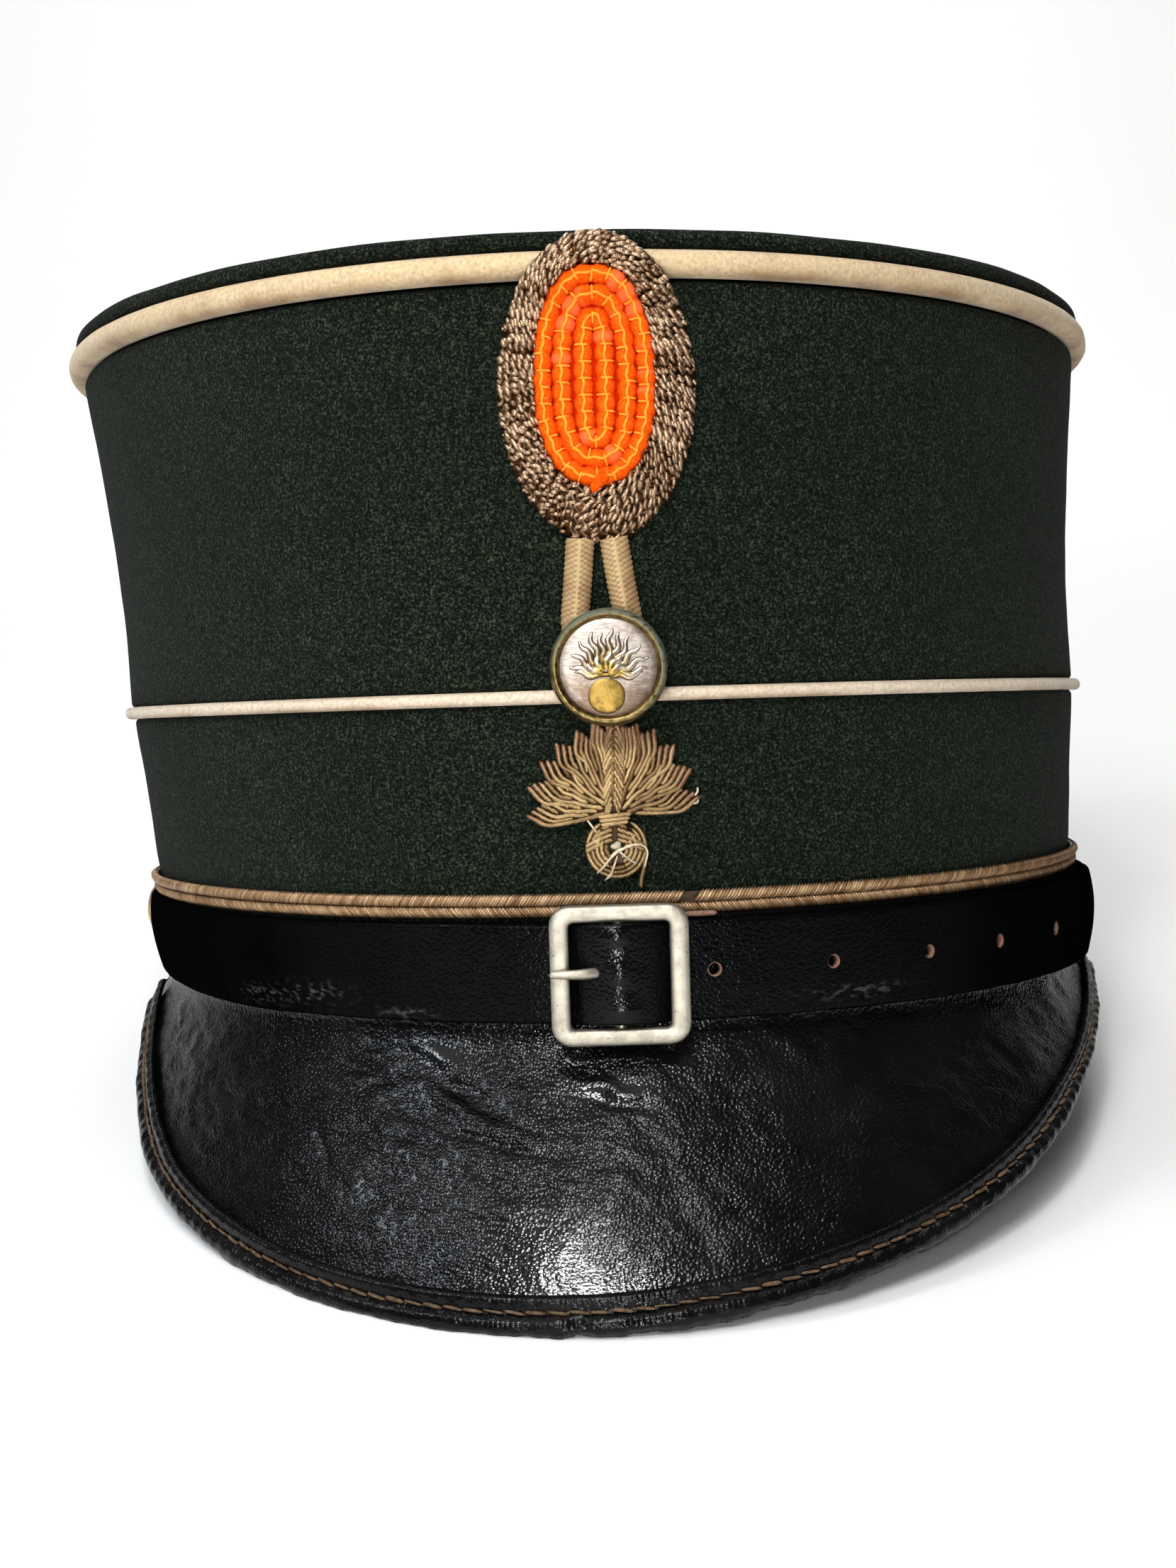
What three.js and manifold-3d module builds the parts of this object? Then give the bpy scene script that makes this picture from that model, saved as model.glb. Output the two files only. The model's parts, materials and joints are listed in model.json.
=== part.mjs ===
// A stiff cloth kepi with cream piping, a leather peak, a buckled chin strap and an oval front cockade.
// Millimetres, +Z up. The front faces -Y and the hat stands as it rests: on its peak and its rear rim.
import * as THREE from 'three';
import { mergeVertices } from 'three/addons/utils/BufferGeometryUtils.js';
import Module from 'manifold-3d';

const wasm = await Module();
wasm.setup();

// Driving sizes
const GAP = 0.3;
const CLOTH = 2.5;
const OVAL_STEPS = 60;
const DEPTH_EXTRA = 17;
const LEAN = { shift: 1.8, perHeight: -0.042, tiltFrom: 47, topTilt: -0.012 };
const REST_PRESS = { rear: 0.8, toe: 0.4 };

// Outer half width of the cloth at each height; the half depth is DEPTH_EXTRA more
const BAND_ROWS = [
  { z: 0, half: 82.4 },
  { z: 15, half: 83.5 },
  { z: 19, half: 84.5 },
  { z: 33.5, half: 85.5 },
  { z: 45.9, half: 86.8 },
];
const SIDE_ROWS = [
  { z: 47.7, half: 87.0 },
  { z: 62, half: 86.9 },
  { z: 76, half: 87.7 },
  { z: 91, half: 89.1 },
  { z: 105, half: 90.8 },
];

// Seam trims and the top plate, as closed sections going round the oval
const BAND_PIPING = { low: 46.2, high: 47.4, mid: 46.8, inner: 84.5, seam: 87.3, bead: 88.15, swell: 0.2 };
const TOP_PIPING = { low: 105.3, high: 109.4, mid: 107.3, inner: 88.6, seam: 91.4, bead: 93.2, swell: 1.1 };
const PIPING_ROUND = 0.4;
const TOP_PLATE = {
  low: 109.7, high: 112.2, half: 91.8, round: 1.6, shoulder: 0.9, hem: 0.5,
  sag: 1.5, sagHalf: 45, flatHalf: 84,
};
const BRAID = { low: 15.2, high: 18.6, foot: 1.2, lowRib: 1.8, groove: 0.9, highRib: 1.35, head: 0.75 };

// Chin strap, buckle and side buttons. "out" is the distance from the cloth's base oval.
const STRAP = { width: 14.6, thick: 1.6, out: 2.0, backEnd: 98, tailEnd: 84, step: 6 };
const SHORT_STRAP = {
  thick: 1.4, eyeRound: 1.8, eyeBore: 1.0, slotWide: 9, slotDeep: 12, slotTall: 5,
  bendX: 5, bendOut: 2.3, flatX: 12, overlap: 0.1,
};
const STRAP_OVER_BUCKLE = [
  { x: -30, out: 2.0 },
  { x: -18, out: 2.9 },
  { x: -11, out: 3.7 },
  { x: -6.4, out: 3.7 },
  { x: -4.2, out: 5.4 },
  { x: -1.8, out: 6.4 },
  { x: 0, out: 6.6 },
  { x: 1.8, out: 6.4 },
  { x: 4.2, out: 5.4 },
  { x: 6.4, out: 3.7 },
  { x: 12, out: 3.7 },
];
const HOLE = { radius: 1.1, sides: 10, from: 2, to: 8 };
const HOLE_ANGLES = [8.1, 19.9, 31, 41.3, 53];
const BUCKLE = {
  x: 0.35, z: 7.6, halfX: 10, halfZ: 10.2, openX: 7.25, openZ: 7.8,
  corner: 3, innerCorner: 0.8, out: 5.4, thick: 1.7,
  barOut: 4.4, barRadius: 0.7, postHalf: 0.8, postSunk: 0.5,
};
const PRONG = { radius: 0.6, eyeRound: 1.7, eyeHalf: 1.2, rise: 0.6 };
const PRONG_PATH = [
  { x: -0.9, out: 5.4 },
  { x: -3.5, out: 7.2 },
  { x: -5.3, out: 8 },
  { x: -10.3, out: 7.9 },
];
const SIDE_BUTTON = { angle: 94, radius: 6, height: 3.8, z: 7.3, lift: 0.7, sides: 14 };
const SIDE_BUTTON_PROFILE = [
  { across: 0, up: 0 },
  { across: 0.8, up: 0 },
  { across: 1, up: 0.3 },
  { across: 0.8, up: 0.7 },
  { across: 0, up: 1 },
];

// Peak: a moulded sheet behind the strap, and the folded leather strip that binds its edge
const PEAK = {
  length: 48.1, frontSlope: 60, sideSlope: 82.8, endAngle: 91.4, cut: 80, fall: 1.85, sharp: 1.46,
  thick: 1.8, flange: 1.4, flangeTop: 8, root: -0.5, rootUnder: -1.1, rootOut: 2.8, rootZ: 2, steps: 44,
};
const PEAK_PULL = { root: 0.14, edgeOut: 0.6, edgeDown: 0.46 };
const PEAK_SWAY = { skew: 0.03, shift: -1.6, drop: 20 };
const PEAK_SHARES = { upper: [0, 0.2, 0.4, 0.6, 0.8, 1], under: [1, 0.88, 0.6, 0.3] };
const BINDING = {
  wide: 4.2, thick: 0.9, nose: 1.4, cut: 75, bead: 0.1, beadBack: 0.6, noseBack: 0.75, noseThick: 0.65,
};

// Front ornaments, placed by their centres on the front of the crown
const COCKADE = { x: -0.4, z: 90.4, halfX: 14.2, halfZ: 21.7, steps: 40 };
const COCKADE_PROFILE = [
  { across: 0, lift: GAP },
  { across: 0, lift: 2.9 },
  { across: 0.35, lift: 3.4 },
  { across: 0.75, lift: 2.7 },
  { across: 1, lift: 1.2 },
  { across: 1, lift: GAP },
];
const COCKADE_CENTRE = { x: -0.4, z: 91.5, halfX: 8.5, halfZ: 15.6, middle: 2.5, stemGrow: 0.2, steps: 32 };
const CORD_TURNS = [
  { share: 0.17, lift: 3.2 },
  { share: 0.33, lift: 2.5 },
  { share: 0.5, lift: 3.2 },
  { share: 0.67, lift: 2.5 },
  { share: 0.84, lift: 2.9 },
  { share: 1, lift: 1.4 },
  { share: 1, lift: GAP },
];
const LOOP = { sway: -0.7, width: 4, lowZ: 58, turnRadius: 3.9, turnSteps: 8 };
const LOOP_SIDE = [
  { x: 2.7, z: 68.5 },
  { x: 3.25, z: 63.25 },
  { x: 3.8, z: 58 },
  { x: 3.8, z: 54.5 },
];
const LOOP_PROFILE = [
  { across: -0.5, lift: GAP },
  { across: -0.5, lift: 1.1 },
  { across: -0.2, lift: 1.9 },
  { across: 0.2, lift: 1.9 },
  { across: 0.5, lift: 1.1 },
  { across: 0.5, lift: GAP },
];
const BUTTON = { x: 0, z: 51.1, lift: 3.4, field: 2.3, sides: 24, shank: 1.4, shankSides: 10, overlap: 0.5 };
const BUTTON_PROFILE = [
  { radius: 0, up: 0 },
  { radius: 7.15, up: 0 },
  { radius: 8.35, up: 1 },
  { radius: 8.15, up: 2.5 },
  { radius: 7.65, up: 2.9 },
  { radius: 7.25, up: 2.8 },
  { radius: 6.95, up: 2.3 },
  { radius: 0, up: 2.6 },
];
const BUTTON_RELIEF = {
  neckZ: -1.5, reach: 7.2, sideReach: 5.6, notch: 0.78, tips: 7, spread: 62, neckHalf: 0.9,
  ballZ: -1.95, ball: 2.1, height: 0.5, sunk: 1,
};
const BADGE = {
  x: 0, neckZ: 29.4, reach: 13.4, sideReach: 12.7, notch: 0.82, tips: 15, spread: 92, neckHalf: 3,
  ballZ: -4.6, ball: 4.7, lift: 1.9,
};
const BADGE_RINGS = [
  { share: 0.45, lift: 1.9 },
  { share: 0.8, lift: 1.6 },
  { share: 1, lift: 0.9 },
  { share: 1, lift: GAP },
  { share: 0.5, lift: GAP },
];
const GRENADE_BALL = { past: 14, steps: 16 };

// What the front ornaments lie on: the cloth, raised where the piping runs behind them
const PIPING_ROOM = 0.2;
const FRONT_ROWS = [
  ...BAND_ROWS.filter((row) => row.z < 43),
  { z: 43, half: 86.5 },
  { z: 44.8, half: BAND_PIPING.bead + PIPING_ROOM },
  { z: 48.8, half: BAND_PIPING.bead + PIPING_ROOM },
  { z: 51, half: 87.0 },
  ...SIDE_ROWS.filter((row) => row.z > 52 && row.z < 100),
  { z: 101, half: 90.3 },
  { z: 104.6, half: TOP_PIPING.bead },
  { z: 116, half: TOP_PIPING.bead },
];

const FINISH = {
  cloth: { color: 0x161f18, roughness: 0.95, metalness: 0 },
  piping: { color: 0xd6bf98, roughness: 0.85, metalness: 0 },
  leather: { color: 0x121214, roughness: 0.35, metalness: 0 },
  binding: { color: 0x17161a, roughness: 0.3, metalness: 0 },
  braid: { color: 0xa88b5a, roughness: 0.6, metalness: 0.3 },
  bullion: { color: 0x82694b, roughness: 0.5, metalness: 0.5 },
  orange: { color: 0xf05a10, roughness: 0.7, metalness: 0 },
  nickel: { color: 0xc8bea8, roughness: 0.35, metalness: 0.9 },
  brass: { color: 0xa8935c, roughness: 0.4, metalness: 0.9 },
};

const rad = THREE.MathUtils.degToRad;
const vec = (x, y, z) => new THREE.Vector3(x, y, z);

// A named column of a table at a height or place between its rows
function lookUp(rows, column, value, key) {
  const after = rows.findIndex((row) => row[key] >= value);
  if (after === 0) return rows[0][column];
  if (after < 0) return rows[rows.length - 1][column];
  const [low, high] = [rows[after - 1], rows[after]];
  const share = (value - low[key]) / (high[key] - low[key]);
  return THREE.MathUtils.lerp(low[column], high[column], share);
}

// Middle of the crown's oval at a height
function ovalMiddle(z) {
  return LEAN.shift + LEAN.perHeight * z;
}

// A point of the crown's oval; angle 0 is the front. Above the band the rows tip up to one side.
function ovalPoint(angle, half, z) {
  const across = half * Math.sin(angle);
  const tip = LEAN.topTilt * Math.max(0, (z - LEAN.tiltFrom) / (TOP_PLATE.high - LEAN.tiltFrom));
  return vec(ovalMiddle(z) + across, -(half + DEPTH_EXTRA) * Math.cos(angle), z + tip * across);
}

// Half width of the band where the strap and the peak lie against it
function rimHalf(z) {
  return lookUp(BAND_ROWS, 'half', THREE.MathUtils.clamp(z, 0, STRAP.width), 'z');
}

// Outward direction of the base oval
function rimNormal(angle) {
  const half = rimHalf(0);
  return vec(Math.sin(angle) / half, -Math.cos(angle) / (half + DEPTH_EXTRA), 0).normalize();
}

// A point at a distance outside the base oval, which leans with the cloth above the rim
function rimPoint(angle, out, z) {
  const point = ovalPoint(angle, rimHalf(z), Math.max(z, 0)).addScaledVector(rimNormal(angle), out);
  point.z = z;
  return point;
}

// Angle of the base oval at a sideways place near the front
function rimAngle(x) {
  return Math.asin((x - ovalMiddle(0)) / rimHalf(0));
}

// A point in front of what the ornaments lie on, at a sideways place and a height
function frontPoint(x, z, lift) {
  const half = lookUp(FRONT_ROWS, 'half', z, 'z');
  const side = (x - ovalMiddle(z)) / half;
  return vec(x, -(half + DEPTH_EXTRA) * Math.sqrt(1 - side * side) - lift, z);
}

// A closed body from points and triangles, turned so that its faces point out
function closedBody(points, triangles) {
  let volume = 0;
  for (const [a, b, c] of triangles) {
    volume += points[a].dot(vec(0, 0, 0).crossVectors(points[b], points[c]));
  }
  const faces = volume < 0 ? triangles.map(([a, b, c]) => [a, c, b]) : triangles;
  const geometry = new THREE.BufferGeometry().setFromPoints(points);
  geometry.setIndex(faces.flat());
  geometry.computeVertexNormals();
  return geometry;
}

// Two triangles between neighbouring points of two sections
function quad(a, b, c, d) {
  return [[a, b, c], [a, c, d]];
}

// A body whose closed sections follow each other all the way round
function ringBody(sections) {
  const size = sections[0].length;
  const triangles = [];
  sections.forEach((section, s) => {
    const next = ((s + 1) % sections.length) * size;
    for (let p = 0; p < size; p += 1) {
      const q = (p + 1) % size;
      triangles.push(...quad(s * size + p, next + p, next + q, s * size + q));
    }
  });
  return closedBody(sections.flat(), triangles);
}

// A body whose closed sections follow each other from one capped end to the other
function stripBody(sections, flatSection) {
  const clockwise = THREE.ShapeUtils.isClockWise(flatSection);
  const turned = (section) => (clockwise ? [...section].reverse() : section);
  const rings = sections.map(turned);
  const size = flatSection.length;
  const last = (rings.length - 1) * size;
  const caps = THREE.ShapeUtils.triangulateShape(turned(flatSection), []);
  const triangles = caps.flatMap(([a, b, c]) => [[a, c, b], [last + a, last + b, last + c]]);
  for (let s = 0; s + 1 < rings.length; s += 1) {
    const [here, next] = [s * size, (s + 1) * size];
    for (let p = 0; p < size; p += 1) {
      const q = (p + 1) % size;
      triangles.push(...quad(here + p, here + q, next + q, next + p));
    }
  }
  return closedBody(rings.flat(), triangles);
}

// A pad from rings of points that close over a middle point in front and another behind
function padBody(front, rings, back) {
  const size = rings[0].length;
  const points = [front, ...rings.flat(), back];
  const lastRing = 1 + (rings.length - 1) * size;
  const triangles = [];
  for (let p = 0; p < size; p += 1) {
    const q = (p + 1) % size;
    triangles.push([0, 1 + p, 1 + q]);
    for (let r = 0; r + 1 < rings.length; r += 1) {
      const here = 1 + r * size;
      triangles.push(...quad(here + p, here + size + p, here + size + q, here + q));
    }
    triangles.push([points.length - 1, lastRing + q, lastRing + p]);
  }
  return closedBody(points, triangles);
}

// Angles that share out a full turn or a stretch
function turnAngles(steps) {
  return Array.from({ length: steps }, (_, step) => (step / steps) * 2 * Math.PI);
}

function stretchAngles(from, to, steps) {
  return Array.from({ length: steps + 1 }, (_, step) => THREE.MathUtils.lerp(from, to, step / steps));
}

// Solids for joining and cutting, and the way back
function solid(geometry) {
  const plain = geometry.clone();
  plain.deleteAttribute('normal');
  plain.deleteAttribute('uv');
  const merged = mergeVertices(plain.index ? plain : mergeVertices(plain), 1e-4);
  const corners = [];
  for (let i = 0; i < merged.index.count; i += 3) {
    const face = [0, 1, 2].map((k) => merged.index.getX(i + k));
    if (new Set(face).size === 3) corners.push(...face);
  }
  const vertProperties = new Float32Array(merged.attributes.position.array);
  const triVerts = new Uint32Array(corners);
  return new wasm.Manifold(new wasm.Mesh({ numProp: 3, vertProperties, triVerts }));
}

function bodyOf(manifold) {
  const mesh = manifold.getMesh();
  const geometry = new THREE.BufferGeometry();
  geometry.setAttribute('position', new THREE.BufferAttribute(mesh.vertProperties, 3));
  geometry.setIndex(new THREE.BufferAttribute(mesh.triVerts, 1));
  geometry.computeVertexNormals();
  return geometry;
}

// A round rod between two points
function rod(from, to, radius, sides) {
  const along = to.clone().sub(from);
  const geometry = new THREE.CylinderGeometry(radius, radius, along.length(), sides);
  const turn = new THREE.Quaternion().setFromUnitVectors(vec(0, 1, 0), along.clone().normalize());
  geometry.applyQuaternion(turn);
  const middle = from.clone().lerp(to, 0.5);
  geometry.translate(middle.x, middle.y, middle.z);
  return geometry;
}

// Peak: how far its edge lies out from the base oval and at what height
function peakEdge(angle) {
  const share = Math.abs(angle) / rad(PEAK.endAngle);
  const length = PEAK.length * (1 - share ** PEAK.fall) ** PEAK.sharp;
  const slope = rad(THREE.MathUtils.lerp(PEAK.frontSlope, PEAK.sideSlope, share * share));
  return { out: PEAK.rootOut + length * Math.cos(slope), z: PEAK.rootZ - length * Math.sin(slope) };
}

// The peak's upper face from the strap to the sheet's edge, as a curve of out and height
function peakCurve(angle) {
  const edge = peakEdge(angle);
  const start = new THREE.Vector2(GAP + PEAK.flange, PEAK.root);
  const end = new THREE.Vector2(edge.out, edge.z);
  const drop = PEAK.root - edge.z;
  const reach = edge.out - start.x;
  const rootPull = new THREE.Vector2(start.x, PEAK.root - PEAK_PULL.root * drop);
  const edgePull = new THREE.Vector2(
    start.x + PEAK_PULL.edgeOut * reach,
    PEAK.root - PEAK_PULL.edgeDown * drop,
  );
  return new THREE.CubicBezierCurve(start, rootPull, edgePull, end);
}

// Direction down the peak's edge, and the direction out of its upper face
function peakDirections(curve, share) {
  const down = curve.getTangent(share);
  return { down, outward: new THREE.Vector2(-down.y, down.x) };
}

// From the section's out and height to the hat, with the peak's slight sway to one side
function peakPoint(angle, place) {
  const point = rimPoint(angle, place.x, place.y);
  const onPeak = THREE.MathUtils.clamp(-place.y / PEAK_SWAY.drop, 0, 1);
  point.z += PEAK_SWAY.skew * (point.x - ovalMiddle(0)) * onPeak;
  point.x += PEAK_SWAY.shift * onPeak;
  return point;
}

function peakSection(angle) {
  const curve = peakCurve(angle);
  const nose = BINDING.nose / curve.getLength();
  const onSheet = (share) => share * (1 - nose);
  const below = (share) => {
    const { outward } = peakDirections(curve, share);
    const place = curve.getPoint(share).addScaledVector(outward, -PEAK.thick);
    return new THREE.Vector2(Math.max(place.x, GAP), place.y);
  };
  return [
    new THREE.Vector2(GAP, PEAK.flangeTop),
    new THREE.Vector2(GAP + PEAK.flange, PEAK.flangeTop),
    ...PEAK_SHARES.upper.map((share) => curve.getPoint(onSheet(share))),
    ...PEAK_SHARES.under.map((share) => below(onSheet(share))),
    new THREE.Vector2(GAP, PEAK.rootUnder),
  ];
}

// The binding's section: a strip folded round the sheet's edge
function bindingSection(angle) {
  const curve = peakCurve(angle);
  const nose = BINDING.nose / curve.getLength();
  const { down, outward } = peakDirections(curve, 1 - nose);
  const edge = curve.getPoint(1 - nose).addScaledVector(outward, -PEAK.thick / 2);
  const inner = PEAK.thick / 2 + GAP;
  const outer = inner + BINDING.thick;
  const upper = [
    { along: GAP, across: inner },
    { along: -BINDING.wide, across: inner },
    { along: -BINDING.wide, across: outer },
    { along: -BINDING.beadBack, across: outer + BINDING.bead },
    { along: BINDING.nose * BINDING.noseBack, across: outer * BINDING.noseThick },
  ];
  const under = upper.map(({ along, across }) => ({ along, across: -across })).reverse();
  return [...upper, { along: BINDING.nose, across: 0 }, ...under].map(({ along, across }) => (
    edge.clone().addScaledVector(down, along).addScaledVector(outward, across)
  ));
}

// The floor under the resting hat: through the rear rim and the peak's toe, both pressed a little flat
const toe = bindingSection(0).reduce((low, place) => (place.y < low.y ? place : low));
const toeY = rimPoint(0, toe.x, 0).y;
const rearY = rimHalf(0) + DEPTH_EXTRA;
const REST_ANGLE = Math.atan((REST_PRESS.rear - toe.y - REST_PRESS.toe) / (rearY - toeY));

function floorHeight(y) {
  return REST_PRESS.rear - (rearY - y) * Math.tan(REST_ANGLE);
}

function pressed(point) {
  point.z = Math.max(point.z, floorHeight(point.y));
  return point;
}

// A cloth wall: its outer rows going up and a few inner rows going down
function clothWall(rows) {
  const inner = [rows[rows.length - 1], rows[Math.floor(rows.length / 2)], rows[0]];
  const section = [...rows, ...inner.map((row) => ({ z: row.z, half: row.half - CLOTH }))];
  const sections = turnAngles(OVAL_STEPS).map((angle) => (
    section.map((row) => pressed(ovalPoint(angle, row.half, row.z)))
  ));
  return ringBody(sections);
}

// A trim of one section all round the oval
function ovalTrim(section) {
  return ringBody(turnAngles(OVAL_STEPS).map((angle) => (
    section.map(({ half, z }) => ovalPoint(angle, half, z))
  )));
}

// A piping cord with the flange that is caught in its seam
function piping(size) {
  const reach = size.swell + PIPING_ROUND;
  return ovalTrim([
    { half: size.inner, z: size.low },
    { half: size.seam, z: size.low },
    { half: size.bead - PIPING_ROUND, z: size.mid - reach },
    { half: size.bead, z: size.mid },
    { half: size.bead - PIPING_ROUND, z: size.mid + reach },
    { half: size.seam, z: size.high },
    { half: size.inner, z: size.high },
  ]);
}

function topPlate() {
  const { low, high, half, round, shoulder, hem, sag, sagHalf, flatHalf } = TOP_PLATE;
  const rows = [
    { rowHalf: sagHalf, z: high - sag },
    { rowHalf: flatHalf, z: high },
    { rowHalf: half - round, z: high },
    { rowHalf: half - GAP, z: high - shoulder },
    { rowHalf: half, z: low + hem },
    { rowHalf: half - hem, z: low },
    { rowHalf: sagHalf, z: low - sag },
  ];
  const rings = rows.map(({ rowHalf, z }) => turnAngles(OVAL_STEPS).map((angle) => (
    vec(ovalMiddle(z), 0, z).lerp(ovalPoint(angle, half, z), rowHalf / half)
  )));
  return padBody(vec(ovalMiddle(high), 0, high - sag), rings, vec(ovalMiddle(low), 0, low - sag));
}

// A flat braid of two ribs with a groove between them
function baseBraid() {
  const { low, high, foot, lowRib, groove, highRib, head } = BRAID;
  const middle = (low + high) / 2;
  const quarter = (high - low) / 4;
  const cloth = (z) => lookUp(BAND_ROWS, 'half', z, 'z') + GAP;
  return ovalTrim([
    { half: cloth(low), z: low },
    { half: cloth(low) + foot, z: low },
    { half: cloth(low) + lowRib, z: middle - quarter },
    { half: cloth(middle) + groove, z: middle },
    { half: cloth(high) + highRib, z: middle + quarter },
    { half: cloth(high) + head, z: high },
    { half: cloth(high), z: high },
  ]);
}

// A strap along the base oval: each station has an angle and how far out its inner face lies
function strapBody(stations, thick) {
  const sections = stations.map(({ angle, out }) => [
    rimPoint(angle, out, 0), rimPoint(angle, out + thick, 0),
    rimPoint(angle, out + thick, STRAP.width), rimPoint(angle, out, STRAP.width),
  ]);
  const flat = [[0, 0], [thick, 0], [thick, STRAP.width], [0, STRAP.width]];
  return stripBody(sections, flat.map(([x, y]) => new THREE.Vector2(x, y)));
}

function strapStations(from, to, out) {
  const steps = Math.round(Math.abs(to - from) / STRAP.step);
  return stretchAngles(rad(from), rad(to), steps).map((angle) => ({ angle, out }));
}

// The buckle's own frame: x across, -y out from the strap's seat, z up, leaning with the strap
const BUCKLE_PLACE = new THREE.Matrix4()
  .makeRotationX(Math.atan((rimHalf(STRAP.width) - rimHalf(0)) / STRAP.width))
  .setPosition(BUCKLE.x, -(rimHalf(BUCKLE.z) + DEPTH_EXTRA), BUCKLE.z);

// The prong's own shape, or with a wider radius the room that it needs through the strap
function prongRod(radius, steps) {
  const sides = 8;
  const path = new THREE.CatmullRomCurve3(PRONG_PATH.map(({ x, out }) => vec(x, -out, PRONG.rise)));
  const circle = new THREE.EllipseCurve(0, 0, radius, radius).getPoints(sides).slice(0, sides);
  return new THREE.ExtrudeGeometry(new THREE.Shape(circle), { steps, extrudePath: path });
}

function longStrap() {
  const first = STRAP_OVER_BUCKLE[0];
  const last = STRAP_OVER_BUCKLE[STRAP_OVER_BUCKLE.length - 1];
  const degrees = (row) => THREE.MathUtils.radToDeg(rimAngle(BUCKLE.x + row.x));
  const body = strapBody([
    ...strapStations(-STRAP.backEnd, degrees(first), STRAP.out).slice(0, -1),
    ...STRAP_OVER_BUCKLE.map((row) => ({ angle: rimAngle(BUCKLE.x + row.x), out: row.out })),
    ...strapStations(degrees(last), STRAP.tailEnd, last.out).slice(1),
  ], STRAP.thick);
  const holes = HOLE_ANGLES.map((angle) => {
    const end = (out) => rimPoint(rad(angle), out, STRAP.width / 2);
    return rod(end(HOLE.from), end(HOLE.to), HOLE.radius, HOLE.sides);
  });
  const prongRoom = prongRod(PRONG.radius + GAP, 10).applyMatrix4(BUCKLE_PLACE);
  return bodyOf([...holes, prongRoom].reduce((strap, cut) => strap.subtract(solid(cut)), solid(body)));
}

// A tube round the buckle's bar, and the hole that the bar needs
function eye(round, low, high) {
  const bore = SHORT_STRAP.eyeBore;
  const profile = [[bore, low], [round, low], [round, high], [bore, high], [bore, low]];
  const geometry = new THREE.LatheGeometry(profile.map(([r, h]) => new THREE.Vector2(r, h)), 12);
  geometry.rotateX(Math.PI / 2);
  return geometry.translate(0, -BUCKLE.barOut, 0);
}

function eyeHole() {
  const end = (way) => vec(0, -BUCKLE.barOut, way * BUCKLE.halfZ);
  return rod(end(-1), end(1), SHORT_STRAP.eyeBore, 12);
}

function shortStrap() {
  const { thick, eyeRound, eyeBore, bendX, bendOut, flatX, overlap } = SHORT_STRAP;
  const { slotWide, slotDeep, slotTall } = SHORT_STRAP;
  const near = [
    { x: eyeBore + 2 * overlap, out: BUCKLE.barOut - eyeRound + overlap },
    { x: bendX, out: bendOut },
    { x: flatX, out: STRAP.out },
  ].map((row) => ({ angle: rimAngle(BUCKLE.x + row.x), out: row.out }));
  const far = THREE.MathUtils.radToDeg(near[near.length - 1].angle);
  const flat = strapBody([...near, ...strapStations(far, STRAP.backEnd, STRAP.out).slice(1)], thick);
  const low = -BUCKLE.z;
  const tube = eye(eyeRound, low, low + STRAP.width).applyMatrix4(BUCKLE_PLACE);
  const slot = new THREE.BoxGeometry(slotWide, slotDeep, slotTall).translate(0, -BUCKLE.barOut, PRONG.rise);
  const cuts = [eyeHole(), slot].map((cut) => solid(cut.applyMatrix4(BUCKLE_PLACE)));
  return bodyOf(cuts.reduce((strap, cut) => strap.subtract(cut), solid(flat).add(solid(tube))));
}

// A rounded rectangle about the origin
function roundedRectangle(path, halfX, halfY, corner) {
  path.moveTo(halfX, -halfY + corner);
  path.absarc(halfX - corner, halfY - corner, corner, 0, Math.PI / 2, false);
  path.absarc(-halfX + corner, halfY - corner, corner, Math.PI / 2, Math.PI, false);
  path.absarc(-halfX + corner, -halfY + corner, corner, Math.PI, 1.5 * Math.PI, false);
  path.absarc(halfX - corner, -halfY + corner, corner, 1.5 * Math.PI, 2 * Math.PI, false);
  return path;
}

function buckleFrame() {
  const outline = roundedRectangle(new THREE.Shape(), BUCKLE.halfX, BUCKLE.halfZ, BUCKLE.corner);
  outline.holes.push(roundedRectangle(new THREE.Path(), BUCKLE.openX, BUCKLE.openZ, BUCKLE.innerCorner));
  const depth = BUCKLE.thick;
  const frame = new THREE.ExtrudeGeometry(outline, { depth, bevelEnabled: false, curveSegments: 4 });
  frame.rotateX(Math.PI / 2);
  frame.translate(0, -BUCKLE.out, 0);
  const barHalf = (BUCKLE.halfZ + BUCKLE.openZ) / 2;
  const end = (way) => vec(0, -BUCKLE.barOut, way * barHalf);
  const bar = rod(end(-1), end(1), BUCKLE.barRadius, 8);
  const deep = BUCKLE.out - BUCKLE.barOut + BUCKLE.barRadius + BUCKLE.postSunk;
  const posts = [-1, 1].map((way) => (
    new THREE.BoxGeometry(BUCKLE.postHalf * 2, deep, BUCKLE.postHalf * 2)
      .translate(0, -BUCKLE.out - BUCKLE.postSunk + deep / 2, way * barHalf)
  ));
  const joined = [bar, ...posts].reduce((metal, piece) => metal.add(solid(piece)), solid(frame));
  return bodyOf(joined).applyMatrix4(BUCKLE_PLACE);
}

function buckleProng() {
  const tongue = prongRod(PRONG.radius, 8);
  const loop = eye(PRONG.eyeRound, PRONG.rise - PRONG.eyeHalf, PRONG.rise + PRONG.eyeHalf);
  return bodyOf(solid(tongue).add(solid(loop)).subtract(solid(eyeHole()))).applyMatrix4(BUCKLE_PLACE);
}

const PEAK_ANGLES = stretchAngles(rad(-PEAK.cut), rad(PEAK.cut), PEAK.steps);

function peakBody() {
  const sections = PEAK_ANGLES.map((angle) => (
    peakSection(angle).map((place) => pressed(peakPoint(angle, place)))
  ));
  return stripBody(sections, peakSection(PEAK_ANGLES[0]));
}

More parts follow.
